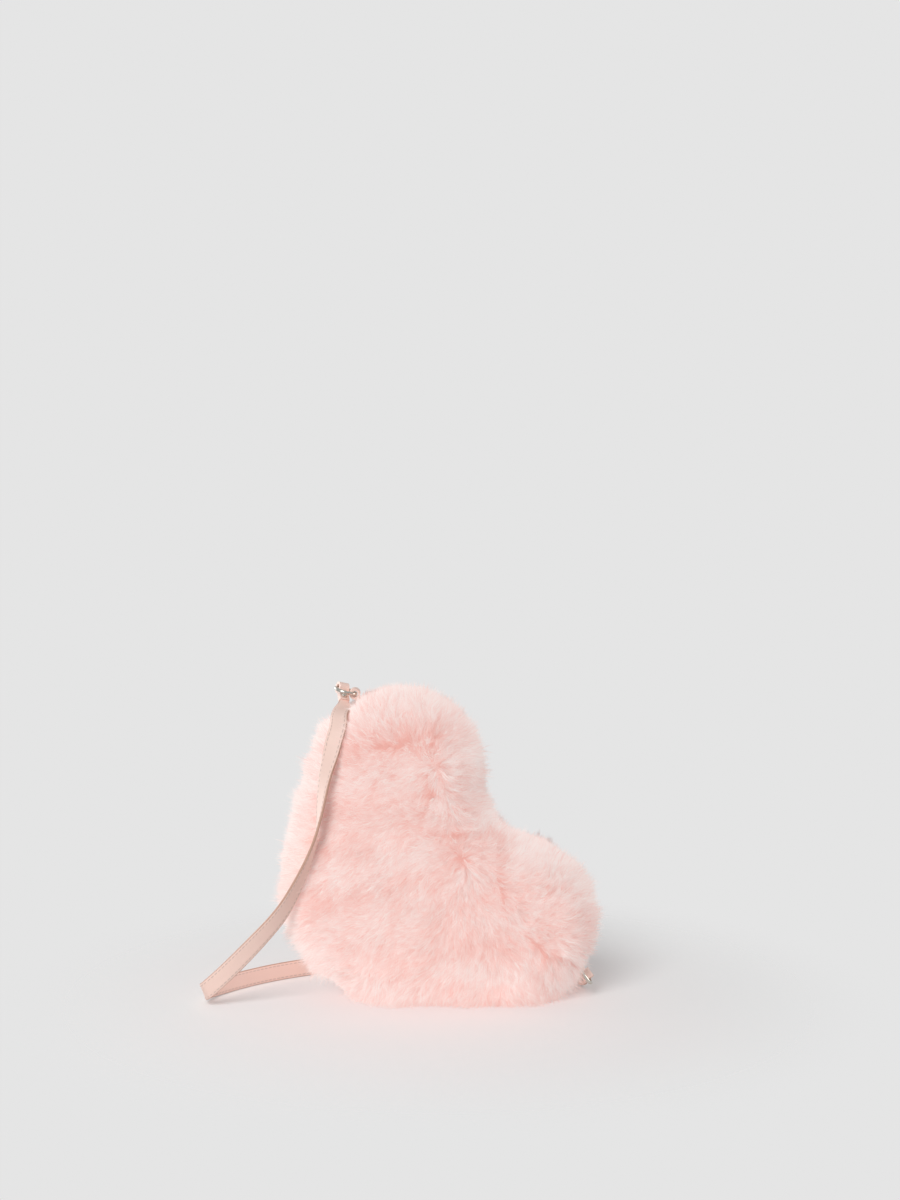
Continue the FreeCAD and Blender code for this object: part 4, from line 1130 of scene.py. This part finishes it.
def make_floor(scene):
    """Pale floor that keeps the shadow and fades into the background."""
    finish = new_finish("studio_floor")
    far = finish.node("ShaderNodeVectorMath", {"operation": "LENGTH"}, {0: finish.place()}, output="Value")
    fade = finish.node(
        "ShaderNodeMapRange",
        {"interpolation_type": "SMOOTHSTEP"},
        {"Value": far, "From Min": FADE_START, "From Max": FADE_END, "To Min": 1.0, "To Max": 0.0},
    )
    material = finish.surface(
        Base_Color=scene.purse_stage.floor, Roughness=0.9, Specular_IOR_Level=0.1, Alpha=fade
    )
    bm = bmesh.new()
    bmesh.ops.create_circle(bm, cap_ends=True, radius=FLOOR_RADIUS, segments=FLOOR_SEGMENTS)
    floor = from_bmesh("studio_floor", bm, material, smooth=False)


def make_lamps(scene):
    """Soft round lamps that look at the purse's middle."""
    for name, place, size, share in LAMPS:
        lamp = bpy.data.lights.new(name, "AREA")
        lamp.shape = "DISK"
        lamp.size = size
        lamp.energy = scene.purse_stage.key * share
        lamp.use_shadow = name == "key_light"
        light = bpy.data.objects.new(name, lamp)
        scene.collection.objects.link(light)
        light.location = place
        light.rotation_euler = (Vector(LAMPS_AIM) - Vector(place)).to_track_quat("-Z", "Y").to_euler()


def make_camera(scene):
    """Camera at the photograph's viewing angle."""
    data = bpy.data.cameras.new("photo_camera")
    data.sensor_fit = "VERTICAL"
    data.sensor_height = CAMERA_FILM
    data.lens = CAMERA_LENS
    data.clip_start = CAMERA_NEAR
    camera = bpy.data.objects.new("photo_camera", data)
    scene.collection.objects.link(camera)
    camera.location = CAMERA_PLACE
    camera.rotation_euler = (math.radians(90 - CAMERA_DIP), 0, 0)
    scene.camera = camera


class PURSE_OT_stage(bpy.types.Operator):
    """Floor, light and camera"""

    bl_idname = "purse.stage"
    bl_label = "Stage"

    def execute(self, context):
        scene = context.scene
        make_world(scene)
        make_floor(scene)
        make_lamps(scene)
        make_camera(scene)
        scene.view_settings.view_transform = "Standard"
        return {"FINISHED"}


class PURSE_OT_strap(bpy.types.Operator):
    """Strap with its stitching"""

    bl_idname = "purse.strap"
    bl_label = "Strap"

    def execute(self, context):
        make_strap(context.scene)
        return {"FINISHED"}


class PURSE_OT_fur(bpy.types.Operator):
    """Skin and fur"""

    bl_idname = "purse.fur"
    bl_label = "Fur"

    def execute(self, context):
        make_fur(context.scene)
        return {"FINISHED"}


class PURSE_OT_hardware(bpy.types.Operator):
    """Leather tabs, metal and zip"""

    bl_idname = "purse.hardware"
    bl_label = "Hardware"

    def execute(self, context):
        make_hardware(context.scene)
        return {"FINISHED"}


OPERATORS = [PURSE_OT_stage, PURSE_OT_strap, PURSE_OT_fur, PURSE_OT_hardware]


class PURSE_PT_panel(bpy.types.Panel):
    """Sidebar panel of the purse."""

    bl_label = "Purse"
    bl_space_type = "VIEW_3D"
    bl_region_type = "UI"
    bl_category = "Purse"

    def draw(self, context):
        for group in (context.scene.purse_fur, context.scene.purse_strap, context.scene.purse_stage):
            for key in group.__annotations__:
                self.layout.prop(group, key)
        for kind in OPERATORS:
            self.layout.operator(kind.bl_idname)


CLASSES = [PurseFur, PurseStrap, PurseStage, *OPERATORS, PURSE_PT_panel]


def register():
    """Registers the classes and the scene's settings."""
    for kind in CLASSES:
        bpy.utils.register_class(kind)
    bpy.types.Scene.purse_fur = bpy.props.PointerProperty(type=PurseFur)
    bpy.types.Scene.purse_strap = bpy.props.PointerProperty(type=PurseStrap)
    bpy.types.Scene.purse_stage = bpy.props.PointerProperty(type=PurseStage)


def unregister():
    """Removes the scene's settings and the classes."""
    for key in ("purse_fur", "purse_strap", "purse_stage"):
        delattr(bpy.types.Scene, key)
    for kind in reversed(CLASSES):
        bpy.utils.unregister_class(kind)


def main():
    """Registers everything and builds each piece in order."""
    register()
    bpy.ops.purse.stage()
    bpy.ops.purse.strap()
    bpy.ops.purse.fur()
    bpy.ops.purse.hardware()


if __name__ == "__main__":
    main()
